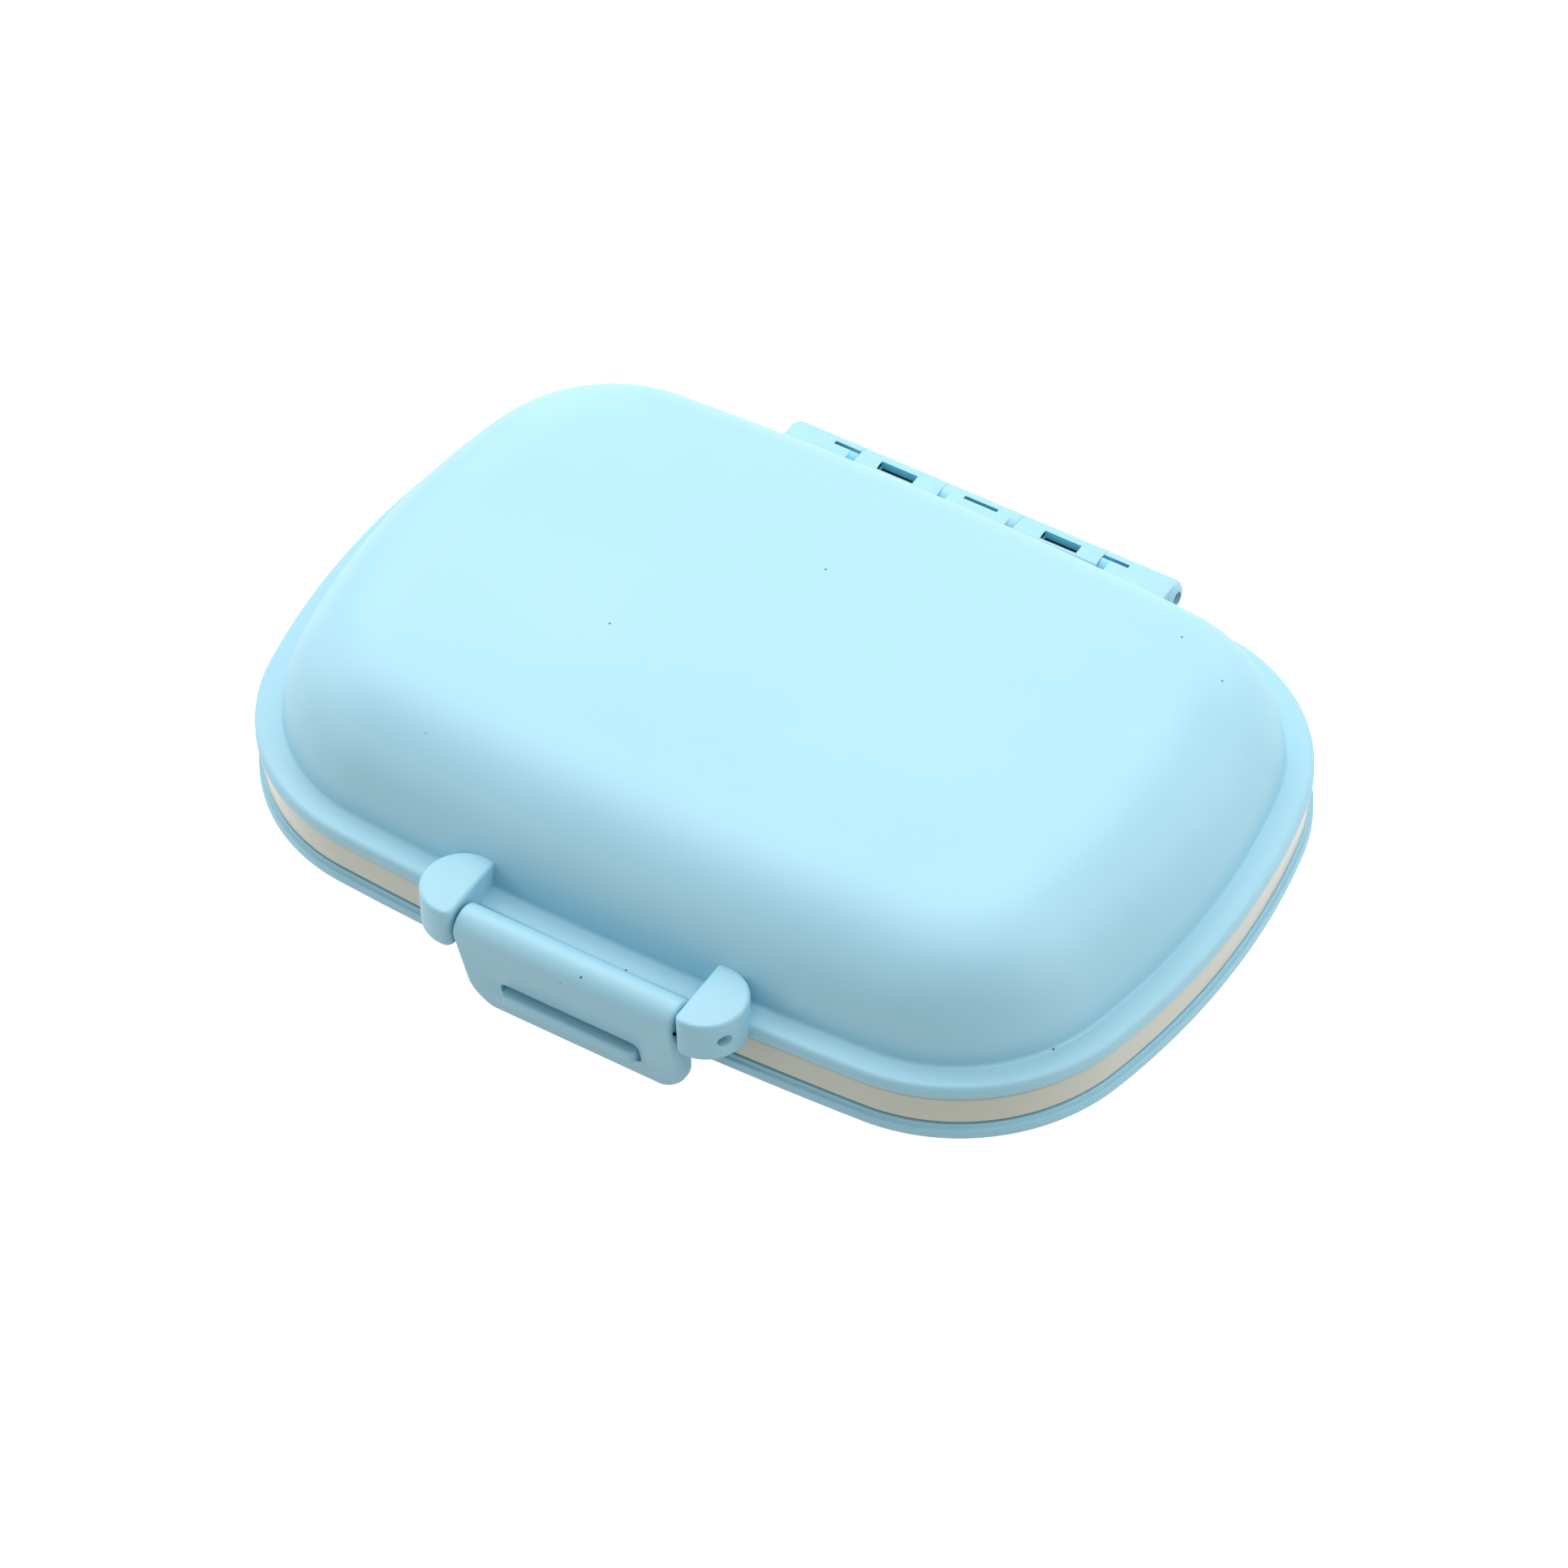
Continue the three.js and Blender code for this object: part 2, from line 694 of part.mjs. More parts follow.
// Latch plate as a stack of level sections, from its lower edge up to the barrel. Its
// front face leans and meets the barrel in a tangent.
function latchSections(half) {
  const lean = THREE.MathUtils.degToRad(latchLean);
  const meetY = latchY - latchBarrelRadius * Math.cos(lean);
  const meetZ = latchZ - latchBarrelRadius * Math.sin(lean);
  const rear = latchY + latchBackStep;
  const rows = [];
  for (let i = 0; i <= plateSteps; i += 1) {
    const turn = (Math.PI / 2) * (i / plateSteps);
    const rise = latchCornerRadius * (1 - Math.cos(turn));
    const side = half - latchCornerRadius * (1 - Math.sin(turn));
    const foot = edgeSetback(rise, latchFootRound);
    const front = meetY + (meetZ - latchBottom - rise) * Math.tan(lean) + foot;
    rows.push([latchBottom + rise, side, front, rear - foot, latchEdgeRound]);
  }
  rows.push([meetZ, half, meetY, rear, latchBarrelRound]);
  rows.push([latchZ, half, latchY, rear, latchBarrelRound]);
  return rows.map(([z, side, front, back, edge]) => {
    const round = Math.min(edge, (back - front) / 2);
    const rearRound = Math.min(latchRearRound, (back - front) / 3);
    return filleted([
      [-side, front, round],
      [side, front, round],
      [side, back, rearRound],
      [-side, back, rearRound],
    ]).map(({ x, y }) => [x, y, z]);
  });
}

// Latch: a barrel on the pin that runs into a plate with a slot for the tab
function latchPlate() {
  const half = earSpread - latchSideGap;
  const slot = filleted([
    [-slotHalfLength, slotBottom, slotCornerRadius],
    [slotHalfLength, slotBottom, slotCornerRadius],
    [slotHalfLength, slotBottom + slotHeight, slotCornerRadius],
    [-slotHalfLength, slotBottom + slotHeight, slotCornerRadius],
  ]);
  const opening = alongY(slot, [latchY - 2 * latchBarrelRadius, latchY + 2 * latchBarrelRadius]);
  const rounds = [latchBarrelRound, latchBarrelRound];
  const barrel = barAlongX(latchY, latchZ, latchBarrelRadius, [-half, half], rounds);
  const bore = barAlongX(latchY, latchZ, latchPinRadius + pinFit, [-a, a]);
  const plate = loft(latchBottom, latchSections(half), latchZ);
  return join(plate.subtract(opening), barrel).subtract(bore);
}

function latchPin() {
  const outward = Math.sqrt(earRadius ** 2 - (latchPinReach - earCentreReach) ** 2);
  const half = earSpread + earCentreOffset + outward - latchPinRecess;
  return barAlongX(latchY, latchZ, latchPinRadius, [-half, half], [pinFit, pinFit]);
}

function hingePin() {
  const half = hingeHalfLength - hingePinRecess;
  return barAlongX(hingeY, hingeZ, hingePinRadius, [-half, half], [pinFit, pinFit]);
}

const group = new THREE.Group();
group.name = 'pill_organizer';

function place(name, solid, color, roughness, metalness = 0) {
  const material = new THREE.MeshStandardMaterial({ color, roughness, metalness });
  const mesh = new THREE.Mesh(toGeometry(solid), material);
  mesh.name = name;
  group.add(mesh);
}

place('lid_shell', lidShell(), 0xb4e2ee, 0.55);
place('base_shell', baseShell(), 0xa9dae8, 0.55);
place('compartment_tray', compartmentTray(), 0xf1efe9, 0.3);
guideCentres().forEach((x, i) => {
  place(`cross_divider_${i + 1}`, crossDivider(x, -1), 0xf4f2ec, 0.35);
});
guideCentres().forEach((x, i) => {
  place(`cross_divider_${i + cellColumns}`, crossDivider(x, 1), 0xf4f2ec, 0.35);
});
place('lid_liner', lidLiner(), 0xf4f2ec, 0.35);
place('liner_seal', linerSeal(), 0xdfe3e2, 0.6);
place('latch_plate', latchPlate(), 0xa9dae8, 0.55);
place('latch_pin', latchPin(), 0xb9bcc0, 0.3, 1);
place('hinge_pin', hingePin(), 0xb9bcc0, 0.3, 1);

export default group;
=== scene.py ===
# %% [markdown]
# # A clamshell pill organizer
# The case is two moulded shells of pale blue polypropylene around a white tray. A steel pin
# hinges them at the back and a slotted latch holds them at the front. This lesson builds
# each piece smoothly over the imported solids, which stay the measure for every size.
# Everything is in metres in the row frame: +X along the case, -Y to the latch, +Z up.

# %% Load the frame
import math
import bmesh
import bpy
from mathutils import Matrix, Vector


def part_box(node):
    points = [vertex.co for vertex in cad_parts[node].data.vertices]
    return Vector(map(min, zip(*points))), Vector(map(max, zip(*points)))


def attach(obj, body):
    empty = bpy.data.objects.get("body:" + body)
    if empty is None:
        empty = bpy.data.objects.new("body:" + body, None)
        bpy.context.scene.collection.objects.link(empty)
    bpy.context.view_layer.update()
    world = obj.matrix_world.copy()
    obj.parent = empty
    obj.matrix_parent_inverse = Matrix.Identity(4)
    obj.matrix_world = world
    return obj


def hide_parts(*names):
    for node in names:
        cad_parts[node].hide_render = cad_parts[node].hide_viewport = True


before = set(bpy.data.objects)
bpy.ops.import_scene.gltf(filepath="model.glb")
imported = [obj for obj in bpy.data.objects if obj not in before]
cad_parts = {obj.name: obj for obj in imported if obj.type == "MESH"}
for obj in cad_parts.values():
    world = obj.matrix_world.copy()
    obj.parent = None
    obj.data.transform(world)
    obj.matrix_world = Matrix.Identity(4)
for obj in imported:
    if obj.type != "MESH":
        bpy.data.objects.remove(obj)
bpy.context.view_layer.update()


# %% [markdown]
# ## Sizes
# The sizes repeat the ones of the solids, in millimetres, because a moulded part is drawn
# that way. Heights run up from the flat underside: bowl, base flange, white band, lid
# flange, dome. A fit is 0.3 mm between parts that rest on each other. The base flange
# differs: its top lies 0.55 mm and its underside 0.2 mm lower than in the solids, and the
# white skirt above it ends as much lower, because the band is that tall in the picture.

# %% Sizes in millimetres
MM = 0.001
HALF_LENGTH, HALF_WIDTH = 60.0, 41.0
LONG_RADIUS, END_RADIUS, CORNER_RADIUS = 532.0, 94.0, 24.4
BASE_FLANGE = (9.8, 11.75)
STEP_Z = BASE_FLANGE[1] - 0.5
PARTING, LID_FLANGE_TOP, LID_TOP = 16.3, 18.4, 31.4
DOME_WIDTH, HOLLOW_WIDTH, BOWL_WIDTH, CELL_WIDTH = 14.5, 12.8, 12.0, 10.2
CROWN = 0.4
LEDGE, WALL, GAP = 3.3, 1.5, 0.3
LIP_INSET = LEDGE + WALL
TRAY_INSET, TRAY_WALL, TRAY_TOP = LIP_INSET + GAP, 1.7, PARTING - GAP
CELL_INSET = TRAY_INSET + TRAY_WALL
CELL_FLOOR, CELL_FOOT = 3.0, TRAY_TOP - 5.0
TRAY_UNDER, LAND_UNDER = WALL + GAP, TRAY_TOP - 1.3
POCKET_INSET, POCKET_TOP = LIP_INSET - 0.6, PARTING + 2.5
PITCH = 26.6
HINGE_Y, HINGE_Z, KNUCKLE = 44.05, 15.5, 2.1
LATCH_Y, LATCH_Z, LATCH_BARREL = -44.25, 19.15, 2.4
PIN, BORE = 0.7, 0.9
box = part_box("lid_shell")
print("lid from the solids:", [[round(c / MM, 2) for c in corner] for corner in box])

# %% [markdown]
# ## The rim outline
# Seen from above, the rim is four shallow arcs joined by tight corner arcs. An inset moves
# all of them inward about the same centres, so rings of different inset have matching
# points and can be skinned into a shell without twisting.

# %% Rim outline and rings
END_STEPS, CORNER_STEPS, LONG_STEPS = 12, 34, 14


def corner_centre():
    dx, dy = HALF_LENGTH - END_RADIUS, -(HALF_WIDTH - LONG_RADIUS)
    end_reach, long_reach = END_RADIUS - CORNER_RADIUS, LONG_RADIUS - CORNER_RADIUS
    apart = math.hypot(dx, dy)
    along = (long_reach ** 2 - end_reach ** 2 + apart ** 2) / (2 * apart)
    across = math.sqrt(long_reach ** 2 - along ** 2)
    ux, uy = dx / apart, dy / apart
    return ux * along + uy * across, -dy + uy * along - ux * across


CORNER = corner_centre()


def rim_outline(inset):
    """Points of the rim moved inward, counter-clockwise from +X, in millimetres."""
    cx, cy = CORNER
    end_turn = math.atan2(cy, cx - (HALF_LENGTH - END_RADIUS))
    long_turn = math.atan2(cy - (HALF_WIDTH - LONG_RADIUS), cx)
    quarter = []
    for x, y, radius, start, stop, steps in (
        (HALF_LENGTH - END_RADIUS, 0, END_RADIUS, 0, end_turn, END_STEPS),
        (cx, cy, CORNER_RADIUS, end_turn, long_turn, CORNER_STEPS),
        (0, HALF_WIDTH - LONG_RADIUS, LONG_RADIUS, long_turn, math.pi / 2, LONG_STEPS),
    ):
        for i in range(steps):
            turn = start + (stop - start) * i / steps
            quarter.append((x + (radius - inset) * math.cos(turn),
                            y + (radius - inset) * math.sin(turn)))
    quarter.append((0, HALF_WIDTH - inset))
    back, front = quarter[:-1][::-1], quarter[1:]
    return (quarter + [(-x, y) for x, y in back] + [(-x, -y) for x, y in front]
            + [(x, -y) for x, y in back[:-1]])


print("corner centre:", [round(c, 2) for c in CORNER], "points in a ring:", len(rim_outline(0)))

# %% [markdown]
# ## Mesh helpers
# Real mouldings have no knife edges. The helper rounded() puts a small arc at each corner
# of a drawn profile, so its edges catch a highlight; edges that a cut leaves get theirs from
# a small bevel. A shell is a stack of rings, a bar is a profile pushed along X, and a tube
# is a profile turned about X.

# %% Profiles with rounded corners
def rounded(corners, steps=5, closed=True):
    """Replaces each corner (u, v, radius) by an arc; a radius of 0 keeps the point."""
    out = []
    for i, (u, v, radius) in enumerate(corners):
        at_end = not closed and i in (0, len(corners) - 1)
        if radius == 0 or at_end:
            out.append((u, v))
            continue
        here = Vector((u, v))
        back = (Vector(corners[i - 1][:2]) - here).normalized()
        on = (Vector(corners[(i + 1) % len(corners)][:2]) - here).normalized()
        half = math.acos(max(-1, min(1, back.dot(on)))) / 2
        centre = here + (back + on).normalized() * radius / math.sin(half)
        start = here + back * radius / math.tan(half) - centre
        end = here + on * radius / math.tan(half) - centre
        sweep = math.atan2(start.x * end.y - start.y * end.x, start.dot(end))
        for k in range(steps + 1):
            turn = Matrix.Rotation(sweep * k / steps, 2)
            out.append(tuple(centre + turn @ start))
    return out


def rectangle(u, v, radii=(0, 0, 0, 0)):
    """A rounded rectangle from its limits, from the lower left corner round to the upper left."""
    spots = (u[0], v[0]), (u[1], v[0]), (u[1], v[1]), (u[0], v[1])
    return rounded([(*spot, radius) for spot, radius in zip(spots, radii)])


def fixed(points):
    """Profile points that rounded() leaves as they are."""
    return [(u, v, 0) for u, v in points]


# %% Meshes from rings, bars and tubes
SHARP_ANGLE, BEVEL_ANGLE = 32, 38


def new_object(name, data):
    obj = bpy.data.objects.new(name, data)
    bpy.context.scene.collection.objects.link(obj)
    return obj


def finish_shading(mesh):
    mesh.shade_smooth()
    mesh.set_sharp_from_angle(angle=math.radians(SHARP_ANGLE))


def make_mesh(name, points, faces):
    """A new object from points in millimetres, with smooth faces and crisp sharp edges."""
    mesh = bpy.data.meshes.new(name)
    mesh.from_pydata([tuple(c * MM for c in p) for p in points], [], faces)
    work = bmesh.new()
    work.from_mesh(mesh)
    bmesh.ops.remove_doubles(work, verts=work.verts, dist=1e-7)
    bmesh.ops.recalc_face_normals(work, faces=work.faces)
    work.to_mesh(mesh)
    work.free()
    finish_shading(mesh)
    return new_object(name, mesh)


def shell(name, path, start_z, end_z):
    """Skins rings along a path of (inset, z, spread) and closes it on the middle axis."""
    rings = []
    for inset, z, spread in path:
        rings.append([(x * spread, y * spread, z) for x, y in rim_outline(inset)])
    count = len(rings[0])
    points = [(0, 0, start_z)] + [p for ring in rings for p in ring] + [(0, 0, end_z)]
    faces = []
    for i in range(count):
        j = (i + 1) % count
        faces.append((0, 1 + j, 1 + i))
        last = 1 + (len(rings) - 1) * count
        faces.append((len(points) - 1, last + i, last + j))
        for k in range(len(rings) - 1):
            a, b = 1 + k * count, 1 + (k + 1) * count
            faces.append((a + i, a + j, b + j, b + i))
    return make_mesh(name, points, faces)


def ring_band(name, path):
    """A closed frame: the path of (inset, z) runs round a cross-section."""
    rings = [[(x, y, z) for x, y in rim_outline(inset)] for inset, z in path]
    count, total = len(rings[0]), len(rings)
    faces = []
    for k in range(total):
        for i in range(count):
            j, m = (i + 1) % count, (k + 1) % total
            faces.append((k * count + i, k * count + j, m * count + j, m * count + i))
    return make_mesh(name, [p for ring in rings for p in ring], faces)


def stack(name, rings):
    """Skins rings of equal length one after the other and closes both ends flat."""
    count, points = len(rings[0]), [p for ring in rings for p in ring]
    faces = [tuple(range(count))[::-1], tuple(range(len(points) - count, len(points)))]
    for k in range(0, len(points) - count, count):
        for i in range(count):
            j = (i + 1) % count
            faces.append((k + i, k + j, k + count + j, k + count + i))
    return make_mesh(name, points, faces)


def bar(name, outline, x0, x1):
    """A bar along X from a closed outline in Y and Z."""
    return stack(name, [[(x, y, z) for y, z in outline] for x in (x0, x1)])


def slab(name, outline, y0, y1):
    """A bar along Y from a closed outline in X and Z."""
    return stack(name, [[(x, y, z) for x, z in outline] for y in (y0, y1)])


def brick(x, y, z):
    """A plain block from its limits, used to cut with."""
    return bar("brick", rectangle(y, z), *sorted(x))


def tube(name, y, z, outline, steps=64):
    """Turns a closed outline of (x, radius) about the line through y and z along X."""
    count = len(outline)
    points = []
    for k in range(steps):
        turn = 2 * math.pi * k / steps
        points += [(x, y + r * math.cos(turn), z + r * math.sin(turn)) for x, r in outline]
    faces = []
    for k in range(steps):
        m = (k + 1) % steps
        for i in range(count):
            j = (i + 1) % count
            faces.append((k * count + i, k * count + j, m * count + j, m * count + i))
    return make_mesh(name, points, faces)


def cut(obj, *tools, mode="DIFFERENCE"):
    """Booleans the tools into obj, keeps the result as its mesh and removes the tools."""
    for tool in tools:
        step = obj.modifiers.new("cut", "BOOLEAN")
        step.operation, step.object, step.solver = mode, tool, "EXACT"
    bake(obj)
    for tool in tools:
        bpy.data.objects.remove(tool)
    return obj


def soften(obj, width):
    """Rounds every edge sharper than BEVEL_ANGLE by a bevel of that width."""
    step = obj.modifiers.new("soften", "BEVEL")
    step.width, step.segments, step.limit_method = width * MM, 3, "ANGLE"
    step.angle_limit, step.use_clamp_overlap = math.radians(BEVEL_ANGLE), True
    return bake(obj)


def bake(obj):
    """Turns the evaluated object into a plain mesh."""
    graph = bpy.context.evaluated_depsgraph_get()
    mesh = bpy.data.meshes.new_from_object(obj.evaluated_get(graph))
    obj.modifiers.clear()
    old, obj.data = obj.data, mesh
    bpy.data.meshes.remove(old)
    finish_shading(obj.data)
    return obj


def weld(name, parts):
    """Joins closed parts of one moulding into a single object."""
    work = bmesh.new()
    for part in parts:
        work.from_mesh(part.data)
        bpy.data.objects.remove(part)
    mesh = bpy.data.meshes.new(name)
    work.to_mesh(mesh)
    work.free()
    finish_shading(mesh)
    print(name, "has", sum(len(p.vertices) - 2 for p in mesh.polygons), "triangles")
    return new_object(name, mesh)


# %% The shoulder curve, flats and closed vessels
POWER_IN, POWER_UP = 2.44, 1.93


def shoulder(inset, z, width, rise, steps=26):
    """Superellipse from a wall foot to the edge of a flat, as (inset, z) points."""
    points = []
    for i in range(steps + 1):
        turn = math.pi / 2 * i / steps
        inward = 1 - max(0.0, math.cos(turn)) ** (2 / POWER_IN)
        points.append((inset + width * inward, z + rise * math.sin(turn) ** (2 / POWER_UP)))
    return points


def flat_rings(inset, z, crown=0.0, steps=8, spread_to=0.1):
    """Rings that shrink over a flat and rise to a crown in its middle."""
    rings = []
    for i in range(1, steps):
        spread = 1 - (1 - spread_to) * i / (steps - 1)
        rings.append((inset, z + crown * (1 - spread ** 2), spread))
    return rings


def vessel(name, corners, start, end):
    """Skins a drawn profile and closes it by a flat of (inset, z, crown) at each end."""
    path = flat_rings(*start)[::-1]
    path += [(i, z, 1.0) for i, z in rounded(corners, closed=False)]
    path += flat_rings(*end)
    return shell(name, path, start[1] + start[2], end[1] + end[2])


half_way = shoulder(LEDGE, LID_FLANGE_TOP, DOME_WIDTH, LID_TOP - LID_FLANGE_TOP)[13]
print("dome shoulder half way:", [round(v, 2) for v in half_way])

# %% [markdown]
# ## The lid
# The lid is one moulding: a flat flange, a dome that rises from it in one soft curve, two
# half-round ears for the latch pin and three hinge knuckles. The dome is a skin of rings
# from the middle of the inside, out under the flange and back over the top, so its wall is
# closed. Ears and knuckles are made beside it and joined, as the mould does.

# %% Dome and flange
def lid_dome():
    inner = shoulder(LIP_INSET + 0.2, POCKET_TOP, HOLLOW_WIDTH, LID_TOP - WALL - POCKET_TOP)
    outer = shoulder(LEDGE, LID_FLANGE_TOP, DOME_WIDTH, LID_TOP - LID_FLANGE_TOP)
    corners = fixed(inner[::-1])
    corners += [(POCKET_INSET, POCKET_TOP, 0), (POCKET_INSET, PARTING, 0.15), (0, PARTING, 0.5),
                (0, LID_FLANGE_TOP, 0.7), (LEDGE, LID_FLANGE_TOP, 0.45)]
    corners += fixed(outer[1:])
    flat = LEDGE + DOME_WIDTH
    return vessel("dome", corners, (flat, LID_TOP - WALL, CROWN), (flat, LID_TOP, CROWN))


dome = lid_dome()
print("dome faces:", len(dome.data.polygons))

# %% Ears for the latch pin
EAR_X, EAR_CENTRE, EAR_RADIUS, EAR_TOP = 15.1, (16.4, -41.6), 5.0, PARTING + 5.65
EAR_CORNER, EAR_RIM, EAR_ROOT, EAR_END = 1.1, 0.45, -36.4, math.radians(80)


def ear_outline(inset):
    """Flat towards the latch, round outside; the root ends inside the dome wall."""
    reach = EAR_RADIUS - EAR_CORNER
    meet = -math.pi / 2 - math.asin((EAR_CENTRE[0] - EAR_X - EAR_CORNER) / reach)
    corner = (EAR_CENTRE[0] + reach * math.cos(meet), EAR_CENTRE[1] + reach * math.sin(meet))
    arcs = ((corner, EAR_CORNER, -math.pi, meet, 8), (EAR_CENTRE, EAR_RADIUS, meet, EAR_END, 40))
    points = [(EAR_X + inset, EAR_ROOT)]
    for centre, radius, start, stop, steps in arcs:
        for k in range(steps + 1):
            turn = start + (stop - start) * k / steps
            points.append((centre[0] + (radius - inset) * math.cos(turn),
                           centre[1] + (radius - inset) * math.sin(turn)))
    return points + [(points[-1][0], EAR_ROOT)]


def drill(y, z, radius):
    """A rod longer than any bore, used to cut with."""
    return tube("drill", y, z, rectangle((-30, 30), (0, radius)))


def ear(side):
    """A thick half-round post with rounded rims, bored for the latch pin."""
    levels = []
    for turn in [math.pi / 2 * k / 5 for k in range(6)]:
        levels.append((EAR_RIM * (1 - math.sin(turn)), PARTING + EAR_RIM * (1 - math.cos(turn))))
    levels += [(inset, EAR_TOP + PARTING - z) for inset, z in levels[::-1]]
    rings = [[(side * x, y, z) for x, y in ear_outline(inset)] for inset, z in levels]
    post = stack("ear", rings)
    cut(post, drill(LATCH_Y, LATCH_Z, PIN + 0.1))
    return soften(post, 0.2)


ears = [ear(-1), ear(1)]
print("ears reach to y =", round(min(v.co.y for v in ears[1].data.vertices) / MM, 2))

# %% Hinge knuckles of the lid
KNUCKLE_TOP, ROOT_Y = HINGE_Z + KNUCKLE, HALF_WIDTH - 1.4
EDGE, END_ROUND, ARC_RADIUS = 0.07, 1.1, 1.5
MIDDLE_SPANS = ((-5.27, 5.27), (-4.15, 4.15), (-2.3, 2.3))
RIGHT_SPANS = ((16.86, 26.9), (18.0, 26.5), (16.5, 20.4))
LEFT_SPANS = [(-stop, -start) for start, stop in RIGHT_SPANS]


def slit(x):
    return brick(x, (HINGE_Y - 0.35, HINGE_Y + 0.15), (KNUCKLE_TOP - 0.9, KNUCKLE_TOP + 1))


def knuckle(span, rounds=(EDGE, EDGE)):
    outline = rectangle(span, (BORE, KNUCKLE), (0, 0, rounds[1], rounds[0]))
    return tube("knuckle", HINGE_Y, HINGE_Z, outline)


def barrel_arc(start, stop, steps=8):
    """Points inside the wall of the knuckle, where a web or arm ends in it."""
    arc = []
    for k in range(steps + 1):
        turn = math.radians(start + (stop - start) * k / steps)
        arc.append((HINGE_Y + ARC_RADIUS * math.cos(turn), HINGE_Z + ARC_RADIUS * math.sin(turn)))
    return fixed(arc)


def lid_web(span):
    under = PARTING + GAP
    outline = rounded([(ROOT_Y, KNUCKLE_TOP, 0), (ROOT_Y, under, 0), (HALF_WIDTH + 0.3, under, 0)]
                      + barrel_arc(190, 90) + [(HINGE_Y, KNUCKLE_TOP, 0)])
    return soften(bar("web", outline, *span), 0.12)


def lid_knuckle(spans, rounds=(EDGE, EDGE)):
    """A barrel on its web from their spans along X; a mould slit runs along the top of both."""
    return [cut(piece, slit(spans[2])) for piece in (knuckle(spans[0], rounds), lid_web(spans[1]))]


hinge_parts = lid_knuckle(MIDDLE_SPANS)
hinge_parts += lid_knuckle(RIGHT_SPANS, (EDGE, END_ROUND))
hinge_parts += lid_knuckle(LEFT_SPANS, (END_ROUND, EDGE))
lid_housing = weld("lid_housing", [dome] + ears + hinge_parts)

# %% [markdown]
# ## The base
# The base is a shallow bowl with a stepped flange. A thin lip inside the flange keeps the
# tray in place. Two knuckle blocks stand behind the flange, each with a pocket in its top,
# and the catch tab reaches forward through the slot of the latch.

# %% Bowl, flange and lip
STEP_INSET, LIP_OUTSIDE = 0.45, 3.5
ARM_FRONT, BLOCK_SPAN, OPENING_SPAN = HINGE_Y - 2.7, (5.3, 16.83), (8.85, 13.85)
TAB_NOSE, TAB_ROOT, TAB_HALF, TAB_Z = -HALF_WIDTH - 5.2, -39.6, 8.9, (10.1, 11.7)


def base_bowl():
    under, top = BASE_FLANGE
    outer = shoulder(LEDGE, under, BOWL_WIDTH, -under)
    inner = shoulder(LIP_INSET, under, BOWL_WIDTH - WALL, WALL - under)
    lip_top = LAND_UNDER - GAP
    corners = fixed(outer[::-1])
    corners += [(0, under, 0.3), (0, STEP_Z, 0.2), (STEP_INSET, STEP_Z, 0.1),
                (STEP_INSET, top, 0.15), (LIP_OUTSIDE, top, 0.3),
                (LIP_OUTSIDE, lip_top, 0.3), (LIP_INSET, lip_top, 0.3)]
    corners += fixed(inner)
    flat = LEDGE + BOWL_WIDTH
    return vessel("bowl", corners, (flat, 0.0, 0.0), (flat, WALL, 0.0))


def knuckle_block(side):
    """The barrel and the arm under it, with a pocket that opens into the hinge bore."""
    span, pocket = sorted(side * x for x in BLOCK_SPAN), [side * x for x in OPENING_SPAN]
    outline = rounded([(ROOT_Y, STEP_Z, 0), (ROOT_Y, 10.4, 0), (HALF_WIDTH - 0.3, 10.2, 0),
                       (HINGE_Y + 0.88, HINGE_Z - 1.89, 0)] + barrel_arc(-60, -270)
                      + [(HINGE_Y, KNUCKLE_TOP, 0), (HINGE_Y - 1.75, KNUCKLE_TOP, 0.3),
                         (ARM_FRONT, HINGE_Z + 0.6, 0), (ARM_FRONT, STEP_Z, 0)])
    opening = (HINGE_Y - 1.35, HINGE_Y), (HINGE_Z, HINGE_Z + 5)
    arm = soften(cut(bar("arm", outline, *span), brick(pocket, *opening)), 0.1)
    return [arm, cut(knuckle(span), brick(pocket, *opening))]


def catch_tab():
    side = rounded([(TAB_NOSE, TAB_Z[0], 0.35), (TAB_NOSE, TAB_Z[1], 0.35),
                    (TAB_ROOT, TAB_Z[1], 0), (TAB_ROOT, TAB_Z[0], 0)])
    plan = rectangle((-TAB_HALF, TAB_HALF), (TAB_NOSE, TAB_ROOT), (0.8, 0.8, 0, 0))
    keep = stack("keep", [[(x, y, z) for x, y in plan] for z in (9, 12)])
    return soften(cut(bar("tab", side, -9, 9), keep, mode="INTERSECT"), 0.15)


base_parts = [base_bowl(), catch_tab()] + knuckle_block(-1) + knuckle_block(1)
base_housing = weld("base_housing", base_parts)

# %% [markdown]
# ## The tray
# The glossy white band between the shells is the skirt of the tray, which hangs over the
# lip of the base. Inside, it is a bowl in two rows. Ribs on its walls guide the removable
# cross walls. The bowl is a skin of rings; the middle wall is a bar that ends in the wall.

# %% Tray bowl and skirt
SKIRT_OUTSIDE, SKIRT_INSIDE = 0.5, 1.8
MIDDLE_HALF, IN_WALL = 0.7, 0.8


